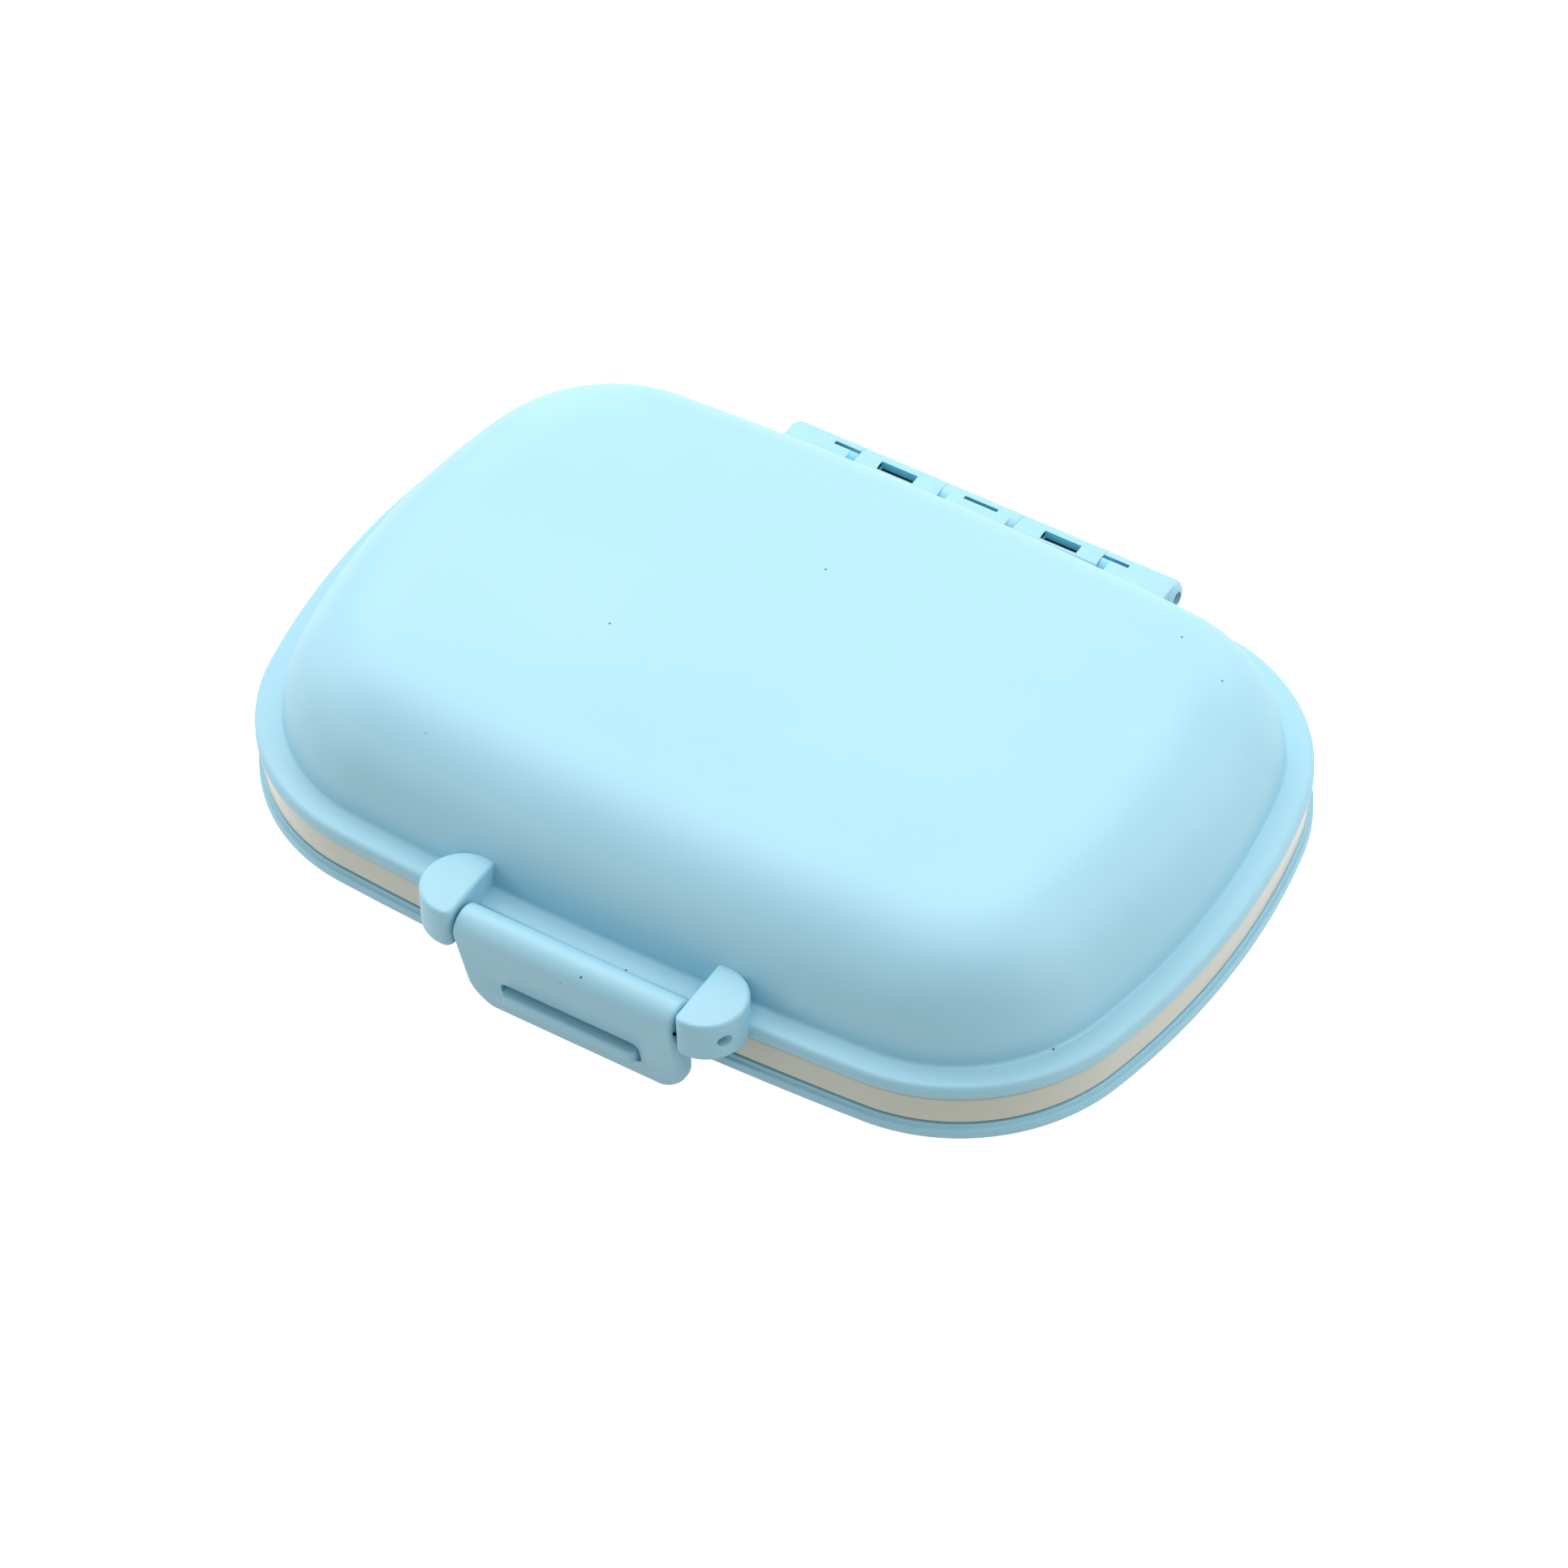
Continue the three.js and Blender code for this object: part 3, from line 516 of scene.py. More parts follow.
def tray_bowl():
    width = BOWL_WIDTH - WALL
    outer = shoulder(TRAY_INSET, BASE_FLANGE[0], width, TRAY_UNDER - BASE_FLANGE[0])
    inner = shoulder(CELL_INSET, CELL_FOOT, CELL_WIDTH, CELL_FLOOR - CELL_FOOT)
    bottom = BASE_FLANGE[1] + GAP
    corners = fixed(outer[::-1])
    corners += [(TRAY_INSET, LAND_UNDER, 0.2), (SKIRT_INSIDE, LAND_UNDER, 0.2),
                (SKIRT_INSIDE, bottom, 0.2), (SKIRT_OUTSIDE, bottom, 0.3),
                (SKIRT_OUTSIDE, TRAY_TOP, 0.35), (CELL_INSET, TRAY_TOP, 0.3)]
    corners += fixed(inner)
    return vessel("tray_bowl", corners, (TRAY_INSET + width, TRAY_UNDER, 0.0),
                  (CELL_INSET + CELL_WIDTH, CELL_FLOOR, 0.0))


def wall_y(inset, x):
    """How far the long wall lies from the middle at x, for an inset."""
    return HALF_WIDTH - LONG_RADIUS + math.sqrt((LONG_RADIUS - inset) ** 2 - x * x)


def room_side(margin):
    """One side of the cells' section: (inset, z) from the top edge down to the floor."""
    rise = CELL_FLOOR + margin - CELL_FOOT
    points = shoulder(CELL_INSET + margin, CELL_FOOT, CELL_WIDTH, rise, 18)
    return [(CELL_INSET + margin, TRAY_TOP)] + points


def middle_wall():
    right = [(HALF_LENGTH - inset, z) for inset, z in room_side(-IN_WALL)]
    outline = right + [(-x, z) for x, z in right[::-1]]
    points, count = [], len(outline)
    for y in (-MIDDLE_HALF, MIDDLE_HALF):
        points += [(x, y, z) for x, z in outline]
    faces = [tuple(range(count)), tuple(range(count, 2 * count))[::-1]]
    faces += [(i, (i + 1) % count, count + (i + 1) % count, count + i) for i in range(count)]
    return soften(make_mesh("middle_wall", points, faces), 0.15)


print("long wall at an outer station:", round(wall_y(CELL_INSET, PITCH), 2))

# %% [markdown]
# ## Ribs and cross walls
# The guide ribs and the cross walls repeat: three stations in each of two rows. Geometry
# Nodes place them. One rib pair and one cross wall are drawn at the middle station, a mesh
# line carries them to all stations, and a second, half-turned copy makes the other row. The
# long wall bows inward towards the ends, so the tree then draws everything in by x squared.

# %% Profiles at the middle station
RIB_START, RIB_STOP, CROSS_HALF = 0.85, 1.75, 0.55
RIB_DEPTH, RIB_FOOT, RIB_ROOT, CROSS_START = 0.9, 1.6, 0.2, 1.0
SCALLOP_RADIUS, SCALLOP_RISE, SCALLOP_STEPS = 9, 6.8, 16


def rib_profile():
    outer = [(wall_y(inset, 0), z) for inset, z in room_side(-IN_WALL)]
    inner = [(wall_y(inset, 0), z) for inset, z in room_side(RIB_DEPTH)]
    inner = [(y, z) for y, z in inner if y > RIB_FOOT + 0.6] + [(RIB_FOOT, inner[-1][1])]
    outer.append((RIB_ROOT, outer[-1][1]))
    return outer + [(RIB_ROOT, TRAY_TOP), (RIB_FOOT, TRAY_TOP)] + inner[::-1]


def cross_wall_profile():
    top = TRAY_TOP - GAP
    side = [(wall_y(inset, 0), z) for inset, z in room_side(GAP)]
    side[0] = (side[0][0], top)
    middle = (CROSS_START + wall_y(CELL_INSET, 0)) / 2
    scallop = []
    for k in range(SCALLOP_STEPS + 1):
        turn = math.radians(-139 + 98 * k / SCALLOP_STEPS)
        scallop.append((middle + SCALLOP_RADIUS * math.cos(turn),
                        top + SCALLOP_RISE + SCALLOP_RADIUS * math.sin(turn)))
    scallop = [(y, z) for y, z in scallop if z < top]
    return [(CROSS_START, side[-1][1]), (CROSS_START, top)] + scallop + side


rib_pair = weld("rib_pair", [bar("rib", rib_profile(), RIB_START, RIB_STOP),
                             bar("rib", rib_profile(), -RIB_STOP, -RIB_START)])
cross_wall = soften(bar("cross_wall", cross_wall_profile(), -CROSS_HALF, CROSS_HALF), 0.2)
print("cross wall points:", len(cross_wall_profile()))


# %% Nodes that work in any tree
def feed(tree, socket, value):
    """Links an output to the socket, or sets the socket where the value is a plain one."""
    if isinstance(value, bpy.types.NodeSocket):
        tree.links.new(value, socket)
    else:
        socket.default_value = value


def link_math(tree, operation, *values):
    node = tree.nodes.new("ShaderNodeMath")
    node.operation = operation
    for i, value in enumerate(values):
        feed(tree, node.inputs[i], value)
    return node.outputs[0]


# %% The tree that sets out the stations
def station_tree():
    tree = bpy.data.node_groups.new("tray_stations", "GeometryNodeTree")
    face = tree.interface
    face.new_socket("Geometry", in_out="INPUT", socket_type="NodeSocketGeometry")
    sockets = {}
    for label, kind in (("Piece", "Object"), ("Stations", "Int"), ("Pitch", "Float"),
                        ("Bow", "Float"), ("Finish", "Material")):
        sockets[label] = face.new_socket(label, in_out="INPUT", socket_type="NodeSocket" + kind)
    face.new_socket("Geometry", in_out="OUTPUT", socket_type="NodeSocketGeometry")
    nodes, links = tree.nodes, tree.links
    given, result = nodes.new("NodeGroupInput"), nodes.new("NodeGroupOutput")
    reach = link_math(tree, "MULTIPLY", link_math(tree, "SUBTRACT", given.outputs["Stations"], 1.0),
                      link_math(tree, "MULTIPLY", given.outputs["Pitch"], -0.5))
    start, step = nodes.new("ShaderNodeCombineXYZ"), nodes.new("ShaderNodeCombineXYZ")
    links.new(reach, start.inputs["X"])
    links.new(given.outputs["Pitch"], step.inputs["X"])
    line = nodes.new("GeometryNodeMeshLine")
    line.mode = "OFFSET"
    links.new(given.outputs["Stations"], line.inputs["Count"])
    links.new(start.outputs[0], line.inputs["Start Location"])
    links.new(step.outputs[0], line.inputs["Offset"])
    piece = nodes.new("GeometryNodeObjectInfo")
    links.new(given.outputs["Piece"], piece.inputs["Object"])
    copies = nodes.new("GeometryNodeInstanceOnPoints")
    links.new(line.outputs["Mesh"], copies.inputs["Points"])
    links.new(piece.outputs["Geometry"], copies.inputs["Instance"])
    turned = nodes.new("GeometryNodeTransform")
    turned.inputs["Rotation"].default_value = (0, 0, math.pi)
    links.new(copies.outputs[0], turned.inputs["Geometry"])
    both = nodes.new("GeometryNodeJoinGeometry")
    links.new(copies.outputs[0], both.inputs[0])
    links.new(turned.outputs[0], both.inputs[0])
    real = nodes.new("GeometryNodeRealizeInstances")
    links.new(both.outputs[0], real.inputs[0])
    place, split = nodes.new("GeometryNodeInputPosition"), nodes.new("ShaderNodeSeparateXYZ")
    links.new(place.outputs[0], split.inputs[0])
    square = link_math(tree, "MULTIPLY", split.outputs["X"], split.outputs["X"])
    pull = link_math(tree, "MULTIPLY", square, given.outputs["Bow"])
    pull = link_math(tree, "MULTIPLY", pull, split.outputs["Y"])
    offset = nodes.new("ShaderNodeCombineXYZ")
    links.new(link_math(tree, "MULTIPLY", pull, -1.0), offset.inputs["Y"])
    bowed = nodes.new("GeometryNodeSetPosition")
    links.new(real.outputs[0], bowed.inputs["Geometry"])
    links.new(offset.outputs[0], bowed.inputs["Offset"])
    paint = nodes.new("GeometryNodeSetMaterial")
    links.new(bowed.outputs[0], paint.inputs["Geometry"])
    links.new(given.outputs["Finish"], paint.inputs["Material"])
    links.new(paint.outputs[0], result.inputs[0])
    return tree, {label: socket.identifier for label, socket in sockets.items()}


STATIONS, SOCKETS = station_tree()
print("tray_stations has", len(STATIONS.nodes), "nodes")

# %% [markdown]
# ## Plastic, steel and silicone
# The shells are matte polypropylene with a fine spark-eroded grain, a little cloudiness in
# the colour and a few specks of dust. The grain is a bump of two noises; it reads Object
# coordinates, so it keeps its size on every piece. It is a shader node group, because the
# shells, the tray and the latch all use it with other values.

# %% Shared surface groups
def group_with(name, inputs, outputs):
    tree = bpy.data.node_groups.new(name, "ShaderNodeTree")
    for label, value in inputs:
        socket = tree.interface.new_socket(label, in_out="INPUT", socket_type="NodeSocketFloat")
        socket.default_value = value
    for label, kind in outputs:
        tree.interface.new_socket(label, in_out="OUTPUT", socket_type="NodeSocket" + kind)
    return tree, tree.nodes.new("NodeGroupInput"), tree.nodes.new("NodeGroupOutput")


def link_noise(tree, coords, scale, detail, roughness=0.5):
    noise = tree.nodes.new("ShaderNodeTexNoise")
    noise.inputs["Detail"].default_value = detail
    noise.inputs["Roughness"].default_value = roughness
    tree.links.new(coords.outputs["Object"], noise.inputs["Vector"])
    feed(tree, noise.inputs["Scale"], scale)
    return noise.outputs["Fac"]


def link_mix(tree, factor, first, second):
    """Mixes two colours, plain ones or outputs."""
    node = tree.nodes.new("ShaderNodeMix")
    node.data_type = "RGBA"
    for label, value in (("Factor", factor), ("A", first), ("B", second)):
        feed(tree, node.inputs[label], value)
    return node.outputs["Result"]


def link_range(tree, value, to_min, to_max, from_min=0.0, from_max=1.0):
    node = tree.nodes.new("ShaderNodeMapRange")
    for label, number in (("From Min", from_min), ("From Max", from_max),
                          ("To Min", to_min), ("To Max", to_max)):
        node.inputs[label].default_value = number
    tree.links.new(value, node.inputs["Value"])
    return node.outputs[0]


def moulded_grain():
    """Height of a spark-eroded mould grain and a slow cloudiness of the plastic."""
    tree, given, result = group_with("moulded_grain", [("Grains per metre", 2600.0)],
                                     [("Height", "Float"), ("Cloud", "Float")])
    coords = tree.nodes.new("ShaderNodeTexCoord")
    fine = link_noise(tree, coords, given.outputs[0], 2.0, 0.6)
    coarse = link_noise(tree, coords, link_math(tree, "MULTIPLY", given.outputs[0], 0.33), 1.0)
    height = link_math(tree, "ADD", link_math(tree, "MULTIPLY", fine, 0.7),
                       link_math(tree, "MULTIPLY", coarse, 0.3))
    tree.links.new(height, result.inputs["Height"])
    tree.links.new(link_noise(tree, coords, 38.0, 3.0), result.inputs["Cloud"])
    return tree


def dust_specks():
    """A mask of sparse tiny specks: cells of a Voronoi pattern that a random draw keeps."""
    tree, given, result = group_with("dust_specks", [("Cells per metre", 420.0), ("Share", 0.1),
                                                     ("Radius", 0.07)], [("Mask", "Float")])
    coords = tree.nodes.new("ShaderNodeTexCoord")
    cells = tree.nodes.new("ShaderNodeTexVoronoi")
    tree.links.new(coords.outputs["Object"], cells.inputs["Vector"])
    tree.links.new(given.outputs["Cells per metre"], cells.inputs["Scale"])
    draw = tree.nodes.new("ShaderNodeSeparateColor")
    tree.links.new(cells.outputs["Color"], draw.inputs[0])
    near = link_math(tree, "LESS_THAN", cells.outputs["Distance"], given.outputs["Radius"])
    kept = link_math(tree, "LESS_THAN", draw.outputs[0], given.outputs["Share"])
    tree.links.new(link_math(tree, "MULTIPLY", near, kept), result.inputs["Mask"])
    return tree


GRAIN, DUST = moulded_grain(), dust_specks()
print("surface groups:", GRAIN.name, DUST.name)

# %% Materials
def srgb(red, green, blue):
    """A colour as it is read in a picture, 0 to 255, turned to linear light."""
    return tuple((c / 255 / 12.92 if c <= 10.31 else ((c / 255 + 0.055) / 1.055) ** 2.4)
                 for c in (red, green, blue)) + (1.0,)


def new_material(name):
    material = bpy.data.materials.new(name)
    material.use_nodes = True
    return material, material.node_tree, material.node_tree.nodes["Principled BSDF"]


# The pale blue and the three limits after it mark painted light: a paler blue painted into the
# hinge pockets and slits.
DUST_COLOUR, POCKET_LIGHT_BLUE = srgb(92, 98, 92), srgb(134, 224, 244)
POCKET_LIGHT_X = ((0, 2.4), (11.35, 2.6), (19.0, 1.5))
POCKET_LIGHT_Y, POCKET_LIGHT_Z = (HINGE_Y - 0.6, 0.77), (HINGE_Z + 0.5, KNUCKLE - 0.56)


def plastic(name, colour, shade, roughness, grain=2600.0, bump=0.000012, dust=0.0, clear=0.0,
            shine=0.5):
    """Moulded plastic: colour clouds between two tones, grain as a bump, specks of dust."""
    material, tree, surface = new_material(name)
    surface.inputs["IOR"].default_value = 1.49
    surface.inputs["Specular IOR Level"].default_value = shine
    surface.inputs["Coat Weight"].default_value = clear
    surface.inputs["Coat Roughness"].default_value = 0.12
    texture = tree.nodes.new("ShaderNodeGroup")
    texture.node_tree = GRAIN
    texture.inputs[0].default_value = grain
    cloud = link_range(tree, texture.outputs["Cloud"], 0.0, 1.0, 0.3, 0.7)
    tone = link_mix(tree, cloud, srgb(*shade), srgb(*colour))
    if dust:
        specks = tree.nodes.new("ShaderNodeGroup")
        specks.node_tree = DUST
        specks.inputs["Share"].default_value = dust
        tone = link_mix(tree, specks.outputs["Mask"], tone, DUST_COLOUR)
    tree.links.new(tone, surface.inputs["Base Color"])
    rough = link_range(tree, texture.outputs["Height"], roughness - 0.04, roughness + 0.05)
    tree.links.new(rough, surface.inputs["Roughness"])
    relief = tree.nodes.new("ShaderNodeBump")
    relief.inputs["Strength"].default_value = 1.0
    relief.inputs["Distance"].default_value = bump
    tree.links.new(texture.outputs["Height"], relief.inputs["Height"])
    tree.links.new(relief.outputs[0], surface.inputs["Normal"])
    return material


def paint_pocket_light(material):
    """Painted light: a paler blue painted into the hinge pockets and slits, in place of light
    shining through their thin walls.
    """
    tree = material.node_tree
    surface = tree.nodes["Principled BSDF"]
    place, coords = tree.nodes.new("ShaderNodeSeparateXYZ"), tree.nodes.new("ShaderNodeTexCoord")
    tree.links.new(coords.outputs["Object"], place.inputs[0])
    along, inside = link_math(tree, "ABSOLUTE", place.outputs["X"]), 0.0
    for centre, half in POCKET_LIGHT_X:
        near = link_math(tree, "COMPARE", along, centre * MM, half * MM)
        inside = link_math(tree, "MAXIMUM", near, inside)
    for axis, (centre, half) in (("Y", POCKET_LIGHT_Y), ("Z", POCKET_LIGHT_Z)):
        near = link_math(tree, "COMPARE", place.outputs[axis], centre * MM, half * MM)
        inside = link_math(tree, "MULTIPLY", near, inside)
    plain_tone = surface.inputs["Base Color"].links[0].from_socket
    tree.links.new(link_mix(tree, inside, plain_tone, POCKET_LIGHT_BLUE), surface.inputs["Base Color"])


def steel_wire():
    """Drawn wire: fine scratches along its length, so the noise is stretched along X."""
    material, tree, surface = new_material("steel_wire")
    surface.inputs["Base Color"].default_value = srgb(150, 154, 158)
    surface.inputs["Metallic"].default_value = 1.0
    coords, stretch = tree.nodes.new("ShaderNodeTexCoord"), tree.nodes.new("ShaderNodeMapping")
    stretch.inputs["Scale"].default_value = (150.0, 6000.0, 6000.0)
    noise = tree.nodes.new("ShaderNodeTexNoise")
    noise.inputs["Scale"].default_value = 1.0
    tree.links.new(coords.outputs["Object"], stretch.inputs["Vector"])
    tree.links.new(stretch.outputs[0], noise.inputs["Vector"])
    rough = link_range(tree, noise.outputs["Fac"], 0.22, 0.42)
    tree.links.new(rough, surface.inputs["Roughness"])
    return material


BLUE = plastic("blue_polypropylene", (160, 212, 230), (156, 209, 227), 0.46, dust=0.03, shine=0.8)
WHITE = plastic("white_polypropylene", (208, 210, 195), (203, 205, 189), 0.24, grain=900.0,
                bump=0.000004, clear=0.3)
CLEAR_WHITE = plastic("liner_polypropylene", (208, 209, 201), (203, 204, 196), 0.32, grain=1200.0,
                      bump=0.000005)
SILICONE = plastic("seal_silicone", (190, 196, 197), (183, 189, 191), 0.6, grain=1600.0,
                   bump=0.000006)
STEEL = steel_wire()
# Painted light: the hinge pockets and slits get a paler blue painted in, in place of light through
# thin walls.
paint_pocket_light(BLUE)
print("materials:", [m.name for m in (BLUE, WHITE, CLEAR_WHITE, SILICONE, STEEL)])


def dress(obj, material, body, slot_name, *nodes):
    """Gives a finished piece its material, its body and the solids that it stands for."""
    obj.data.materials.clear()
    obj.data.materials.append(material)
    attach(obj, body)
    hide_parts(*nodes)
    print(obj.name, "rides on", body, "for", nodes)


dress(lid_housing, BLUE, "lid", "lid_plastic", "lid_shell")
dress(base_housing, BLUE, "case_base", "base_plastic", "base_shell")

# %% Set out ribs and cross walls
def set_out(name, pattern, material):
    """Runs the station tree on a pattern and returns the finished plain mesh."""
    obj = new_object(name, bpy.data.meshes.new(name))
    step = obj.modifiers.new("stations", "NODES")
    step.node_group = STATIONS
    bow = (1 - wall_y(CELL_INSET, PITCH) / wall_y(CELL_INSET, 0)) / (PITCH * MM) ** 2
    for label, value in (("Piece", pattern), ("Stations", 3), ("Pitch", PITCH * MM),
                         ("Bow", bow), ("Finish", material)):
        step[SOCKETS[label]] = value
    bake(obj)
    bpy.data.objects.remove(pattern)
    print(name, "has", len(obj.data.polygons), "faces")
    return obj


guide_ribs = set_out("guide_ribs", rib_pair, WHITE)
cross_walls = set_out("cross_walls", cross_wall, CLEAR_WHITE)
tray = weld("tray", [tray_bowl(), middle_wall(), guide_ribs])
dress(tray, WHITE, "case_base", "tray_plastic", "compartment_tray")
dress(cross_walls, CLEAR_WHITE, "case_base", "divider_plastic",
      *["cross_divider_%d" % n for n in range(1, 7)])

# %% [markdown]
# ## Liner and seal
# With the case open, a white plate closes the hollow of the lid. A soft ring in its groove
# lies over the land of the tray when the case is shut.

# %% Liner plate and seal ring
SEAL = 1.2
SEAL_INSET = (TRAY_INSET + CELL_INSET - SEAL) / 2
LINER, LINER_RIM, LINER_FLAT = 1.2, 1.9, 14.0


def liner_plate():
    inset, top = POCKET_INSET + GAP, POCKET_TOP - GAP
    under = top - LINER_RIM
    level, groove = under + LINER, (SEAL_INSET - GAP, SEAL_INSET + SEAL + GAP)
    corners = [(LINER_FLAT, under, 0), (groove[1], under, 0.15), (groove[1], level, 0.1),
               (groove[0], level, 0.1), (groove[0], under, 0.15), (inset, under, 0.25),
               (inset, top, 0.25), (inset + 3.2, top, 0.25), (inset + 3.9, level, 0.3),
               (LINER_FLAT, level, 0)]
    path = flat_rings(LINER_FLAT, under)[::-1]
    path += [(i, z, 1.0) for i, z in rounded(corners, closed=False)[1:-1]]
    path += flat_rings(LINER_FLAT, level)
    return shell("liner_plate", path, under, level)


def seal_ring():
    bottom, top, inner = TRAY_TOP + GAP, TRAY_TOP + GAP + SEAL, SEAL_INSET + SEAL
    return ring_band("seal_ring", rounded([(SEAL_INSET, bottom, 0.45), (SEAL_INSET, top, 0.1),
                                           (inner, top, 0.1), (inner, bottom, 0.45)]))


dress(liner_plate(), CLEAR_WHITE, "lid", "liner_plastic", "lid_liner")
dress(seal_ring(), SILICONE, "lid", "seal_silicone", "liner_seal")

# %% [markdown]
# ## The latch
# The latch is a thick plate under a barrel that turns on the pin between the ears. Its
# front leans back below the barrel. The plate is a stack of level sections, so that one
# soft edge runs round its sides and its lower corners. The slot takes the catch tab.

# %% Latch plate
LATCH_HALF, LATCH_LEAN, LATCH_DROP, LATCH_REAR = 14.7, math.radians(11.3), 13.3, 1.9
LATCH_CORNER, LATCH_EDGE, LATCH_FOOT, LATCH_STEPS = 4.4, 1.0, 0.6, 24
SLOT_HALF, SLOT_Z, SLOT_ROUND = 9.35, (9.1, 12.85), 0.9


def setback(distance, radius):
    """How far a quarter-round edge stands back at a distance from its tip."""
    rest = max(0.0, radius - distance)
    return radius - math.sqrt(radius ** 2 - rest ** 2)


def latch_sections():
    """Level sections of the plate from its lower edge up to the barrel."""
    meet_y = LATCH_Y - LATCH_BARREL * math.cos(LATCH_LEAN)
    meet_z = LATCH_Z - LATCH_BARREL * math.sin(LATCH_LEAN)
    rear, bottom = LATCH_Y + LATCH_REAR, LATCH_Z - LATCH_DROP
    rows = []
    for k in range(LATCH_STEPS + 1):
        turn = math.pi / 2 * k / LATCH_STEPS
        rise = LATCH_CORNER * (1 - math.cos(turn))
        foot = setback(rise, LATCH_FOOT)
        side = LATCH_HALF - LATCH_CORNER * (1 - math.sin(turn))
        front = meet_y + (meet_z - bottom - rise) * math.tan(LATCH_LEAN) + foot
        rows.append((bottom + rise, side, front, rear - foot, LATCH_EDGE))
    rows += [(meet_z, LATCH_HALF, meet_y, rear, 0.5), (LATCH_Z, LATCH_HALF, LATCH_Y, rear, 0.5)]
    sections = []
    for z, side, front, back, edge in rows:
        edge = min(edge, (back - front) / 2)
        outline = rounded([(-side, front, edge), (side, front, edge), (side, back, 0.5),
                           (-side, back, 0.5)], steps=7)
        sections.append([(x, y, z) for x, y in outline])
    return sections


def latch():
    plate = stack("latch_plate_piece", latch_sections())
    slot = rectangle((-SLOT_HALF, SLOT_HALF), SLOT_Z, (SLOT_ROUND,) * 4)
    cut(plate, slab("slot", slot, -50, -40), drill(LATCH_Y, LATCH_Z, 1.5))
    soften(plate, 0.2)
    rim = rectangle((-LATCH_HALF, LATCH_HALF), (BORE, LATCH_BARREL), (0, 0, 0.5, 0.5))
    return weld("latch", [plate, tube("barrel", LATCH_Y, LATCH_Z, rim)])


dress(latch(), BLUE, "latch", "latch_plastic", "latch_plate")

# %% Pins
LATCH_PIN_HALF, HINGE_PIN_HALF = 19.2, 25.9


def pin(name, y, z, half):
    return tube(name, y, z, rectangle((-half, half), (0, PIN), (0, 0, 0.2, 0.2)), steps=32)


latch_wire = pin("latch_wire", LATCH_Y, LATCH_Z, LATCH_PIN_HALF)
dress(latch_wire, STEEL, "lid", "pin_steel", "latch_pin")
hinge_wire = pin("hinge_wire", HINGE_Y, HINGE_Z, HINGE_PIN_HALF)
dress(hinge_wire, STEEL, "case_base", "pin_steel", "hinge_pin")

# %% [markdown]
# ## Floor, light and camera
# The picture shows the closed case on plain white. The floor and the world look white to
# the camera, while a greyer floor lights the object from below as little as in the picture.
# Soft lamps stand in two rings round the sides and the back of the case, so that the dome
# and the hinge are light and the front slope is the darkest part.

# %% Floor
FLOOR_GREY, FLOOR_GLOW, CAMERA_GLOW = 0.52, 0.72, 0.25


def white_floor():
    material, tree = new_material("white_floor")[:2]
    tree.nodes.clear()
    out = tree.nodes.new("ShaderNodeOutputMaterial")
    soft, glow = tree.nodes.new("ShaderNodeBsdfDiffuse"), tree.nodes.new("ShaderNodeEmission")
    soft.inputs["Color"].default_value = (FLOOR_GREY, FLOOR_GREY, FLOOR_GREY, 1)
    mix, rays = tree.nodes.new("ShaderNodeMixShader"), tree.nodes.new("ShaderNodeLightPath")
    seen = link_math(tree, "MAXIMUM", rays.outputs["Is Camera Ray"], rays.outputs["Is Glossy Ray"])
    seen = link_math(tree, "MAXIMUM", seen, rays.outputs["Is Transmission Ray"])
    both = tree.nodes.new("ShaderNodeAddShader")
    strength = link_math(tree, "MULTIPLY_ADD", rays.outputs["Is Camera Ray"], CAMERA_GLOW,
                         FLOOR_GLOW)
    tree.links.new(strength, glow.inputs["Strength"])
    tree.links.new(soft.outputs[0], both.inputs[0])
    tree.links.new(glow.outputs[0], both.inputs[1])
    tree.links.new(seen, mix.inputs[0])
    tree.links.new(soft.outputs[0], mix.inputs[1])
    tree.links.new(both.outputs[0], mix.inputs[2])
    tree.links.new(mix.outputs[0], out.inputs[0])
    return material


bpy.ops.mesh.primitive_plane_add(size=6)
floor = bpy.context.object
floor.name = "floor"
floor.data.materials.append(white_floor())

# %% World and lamps
WORLD_LIGHT, LAMP_DISTANCE, LAMP_SIZE, LAMP_AIM = 0.365, 1.1, 0.6, (0, 0, 0.02)
world = bpy.data.worlds.new("studio")
bpy.context.scene.world = world
world.use_nodes = True
sky = world.node_tree
back, rays = sky.nodes["Background"], sky.nodes.new("ShaderNodeLightPath")
seen = link_math(sky, "MAXIMUM", rays.outputs["Is Camera Ray"], rays.outputs["Is Transmission Ray"])
sky.links.new(link_range(sky, seen, WORLD_LIGHT, 1.0), back.inputs["Strength"])
back.inputs["Color"].default_value = (1, 1, 1, 1)


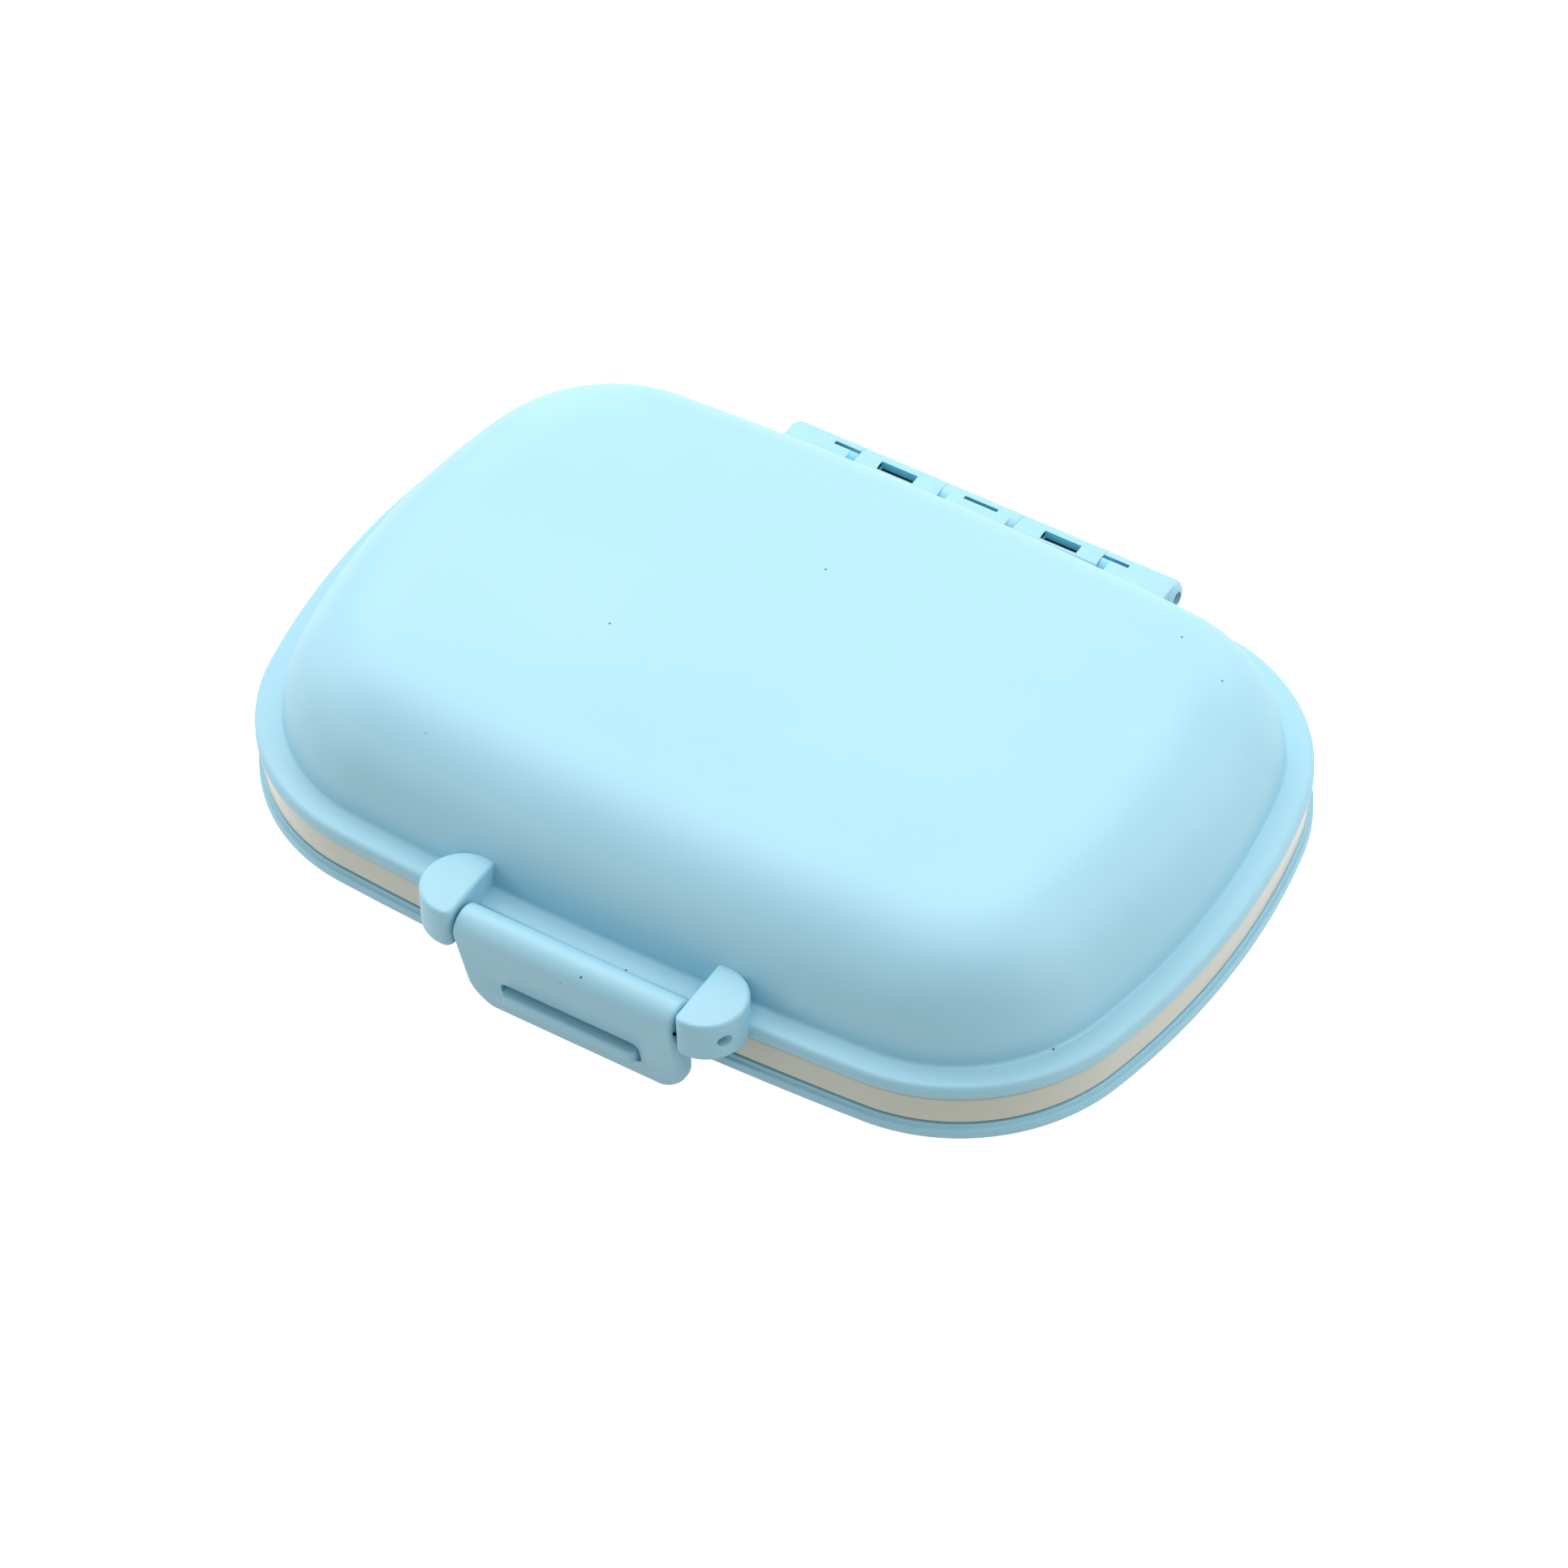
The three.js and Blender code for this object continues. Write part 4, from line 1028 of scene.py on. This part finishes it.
def lamp_at(name, azimuth, elevation, power):
    """A lamp on a dome round the case; azimuth runs from +X towards the hinge side."""
    azimuth, elevation = math.radians(azimuth), math.radians(elevation)
    across = LAMP_DISTANCE * math.cos(elevation)
    data = bpy.data.lights.new(name, "AREA")
    data.shape, data.size, data.energy = "DISK", LAMP_SIZE, power
    lamp = new_object(name, data)
    lamp.location = (across * math.cos(azimuth), across * math.sin(azimuth),
                     LAMP_DISTANCE * math.sin(elevation))
    lamp.rotation_euler = (Vector(LAMP_AIM) - lamp.location).to_track_quat("-Z", "Y").to_euler()
    return lamp


lamps = [lamp_at("overhead", 0, 88, 1.85), lamp_at("left", 180, 22, 2.1)]
lamps += [lamp_at("low", azimuth, 22, 1.6) for azimuth in range(0, 226, 45)]
lamps += [lamp_at("high", azimuth, 52, 2.25) for azimuth in (22, 112, 157)]
print("lamps:", len(lamps))

# %% Camera
AZIMUTH, ELEVATION, ROLL = 34.1195, 46.7932, -2.3788
DISTANCE, SHIFT_RIGHT, SHIFT_UP = 1047.7908, 0.1745, -4.7508
FOCAL_PIXELS, PICTURE_PIXELS, SENSOR = 11155.1769, 1932, 36.0


def photo_camera():
    """The camera stands where the picture was taken; its lens and roll were fitted to it."""
    azimuth, elevation, roll = (math.radians(d) for d in (AZIMUTH, ELEVATION, ROLL))
    back = Vector((math.sin(azimuth) * math.cos(elevation),
                   -math.cos(azimuth) * math.cos(elevation), math.sin(elevation)))
    level = (-back).cross(Vector((0, 0, 1))).normalized()
    upright = level.cross(-back)
    right = math.cos(roll) * level + math.sin(roll) * upright
    up = -math.sin(roll) * level + math.cos(roll) * upright
    place = back * DISTANCE + right * SHIFT_RIGHT + up * SHIFT_UP + Vector((0, 0, PARTING))
    data = bpy.data.cameras.new("camera")
    data.sensor_width, data.lens = SENSOR, FOCAL_PIXELS / PICTURE_PIXELS * SENSOR
    data.clip_start, data.clip_end = 0.05, 20
    camera = new_object("camera", data)
    turn = Matrix((right, up, back)).transposed().to_4x4()
    camera.matrix_world = Matrix.Translation(place * MM) @ turn
    return camera


camera = photo_camera()
bpy.context.scene.camera = camera
bpy.context.scene.view_settings.view_transform = "Standard"
print("camera at", [round(c, 4) for c in camera.location], "lens", round(camera.data.lens, 2))

# %% Finish
bpy.context.view_layer.update()
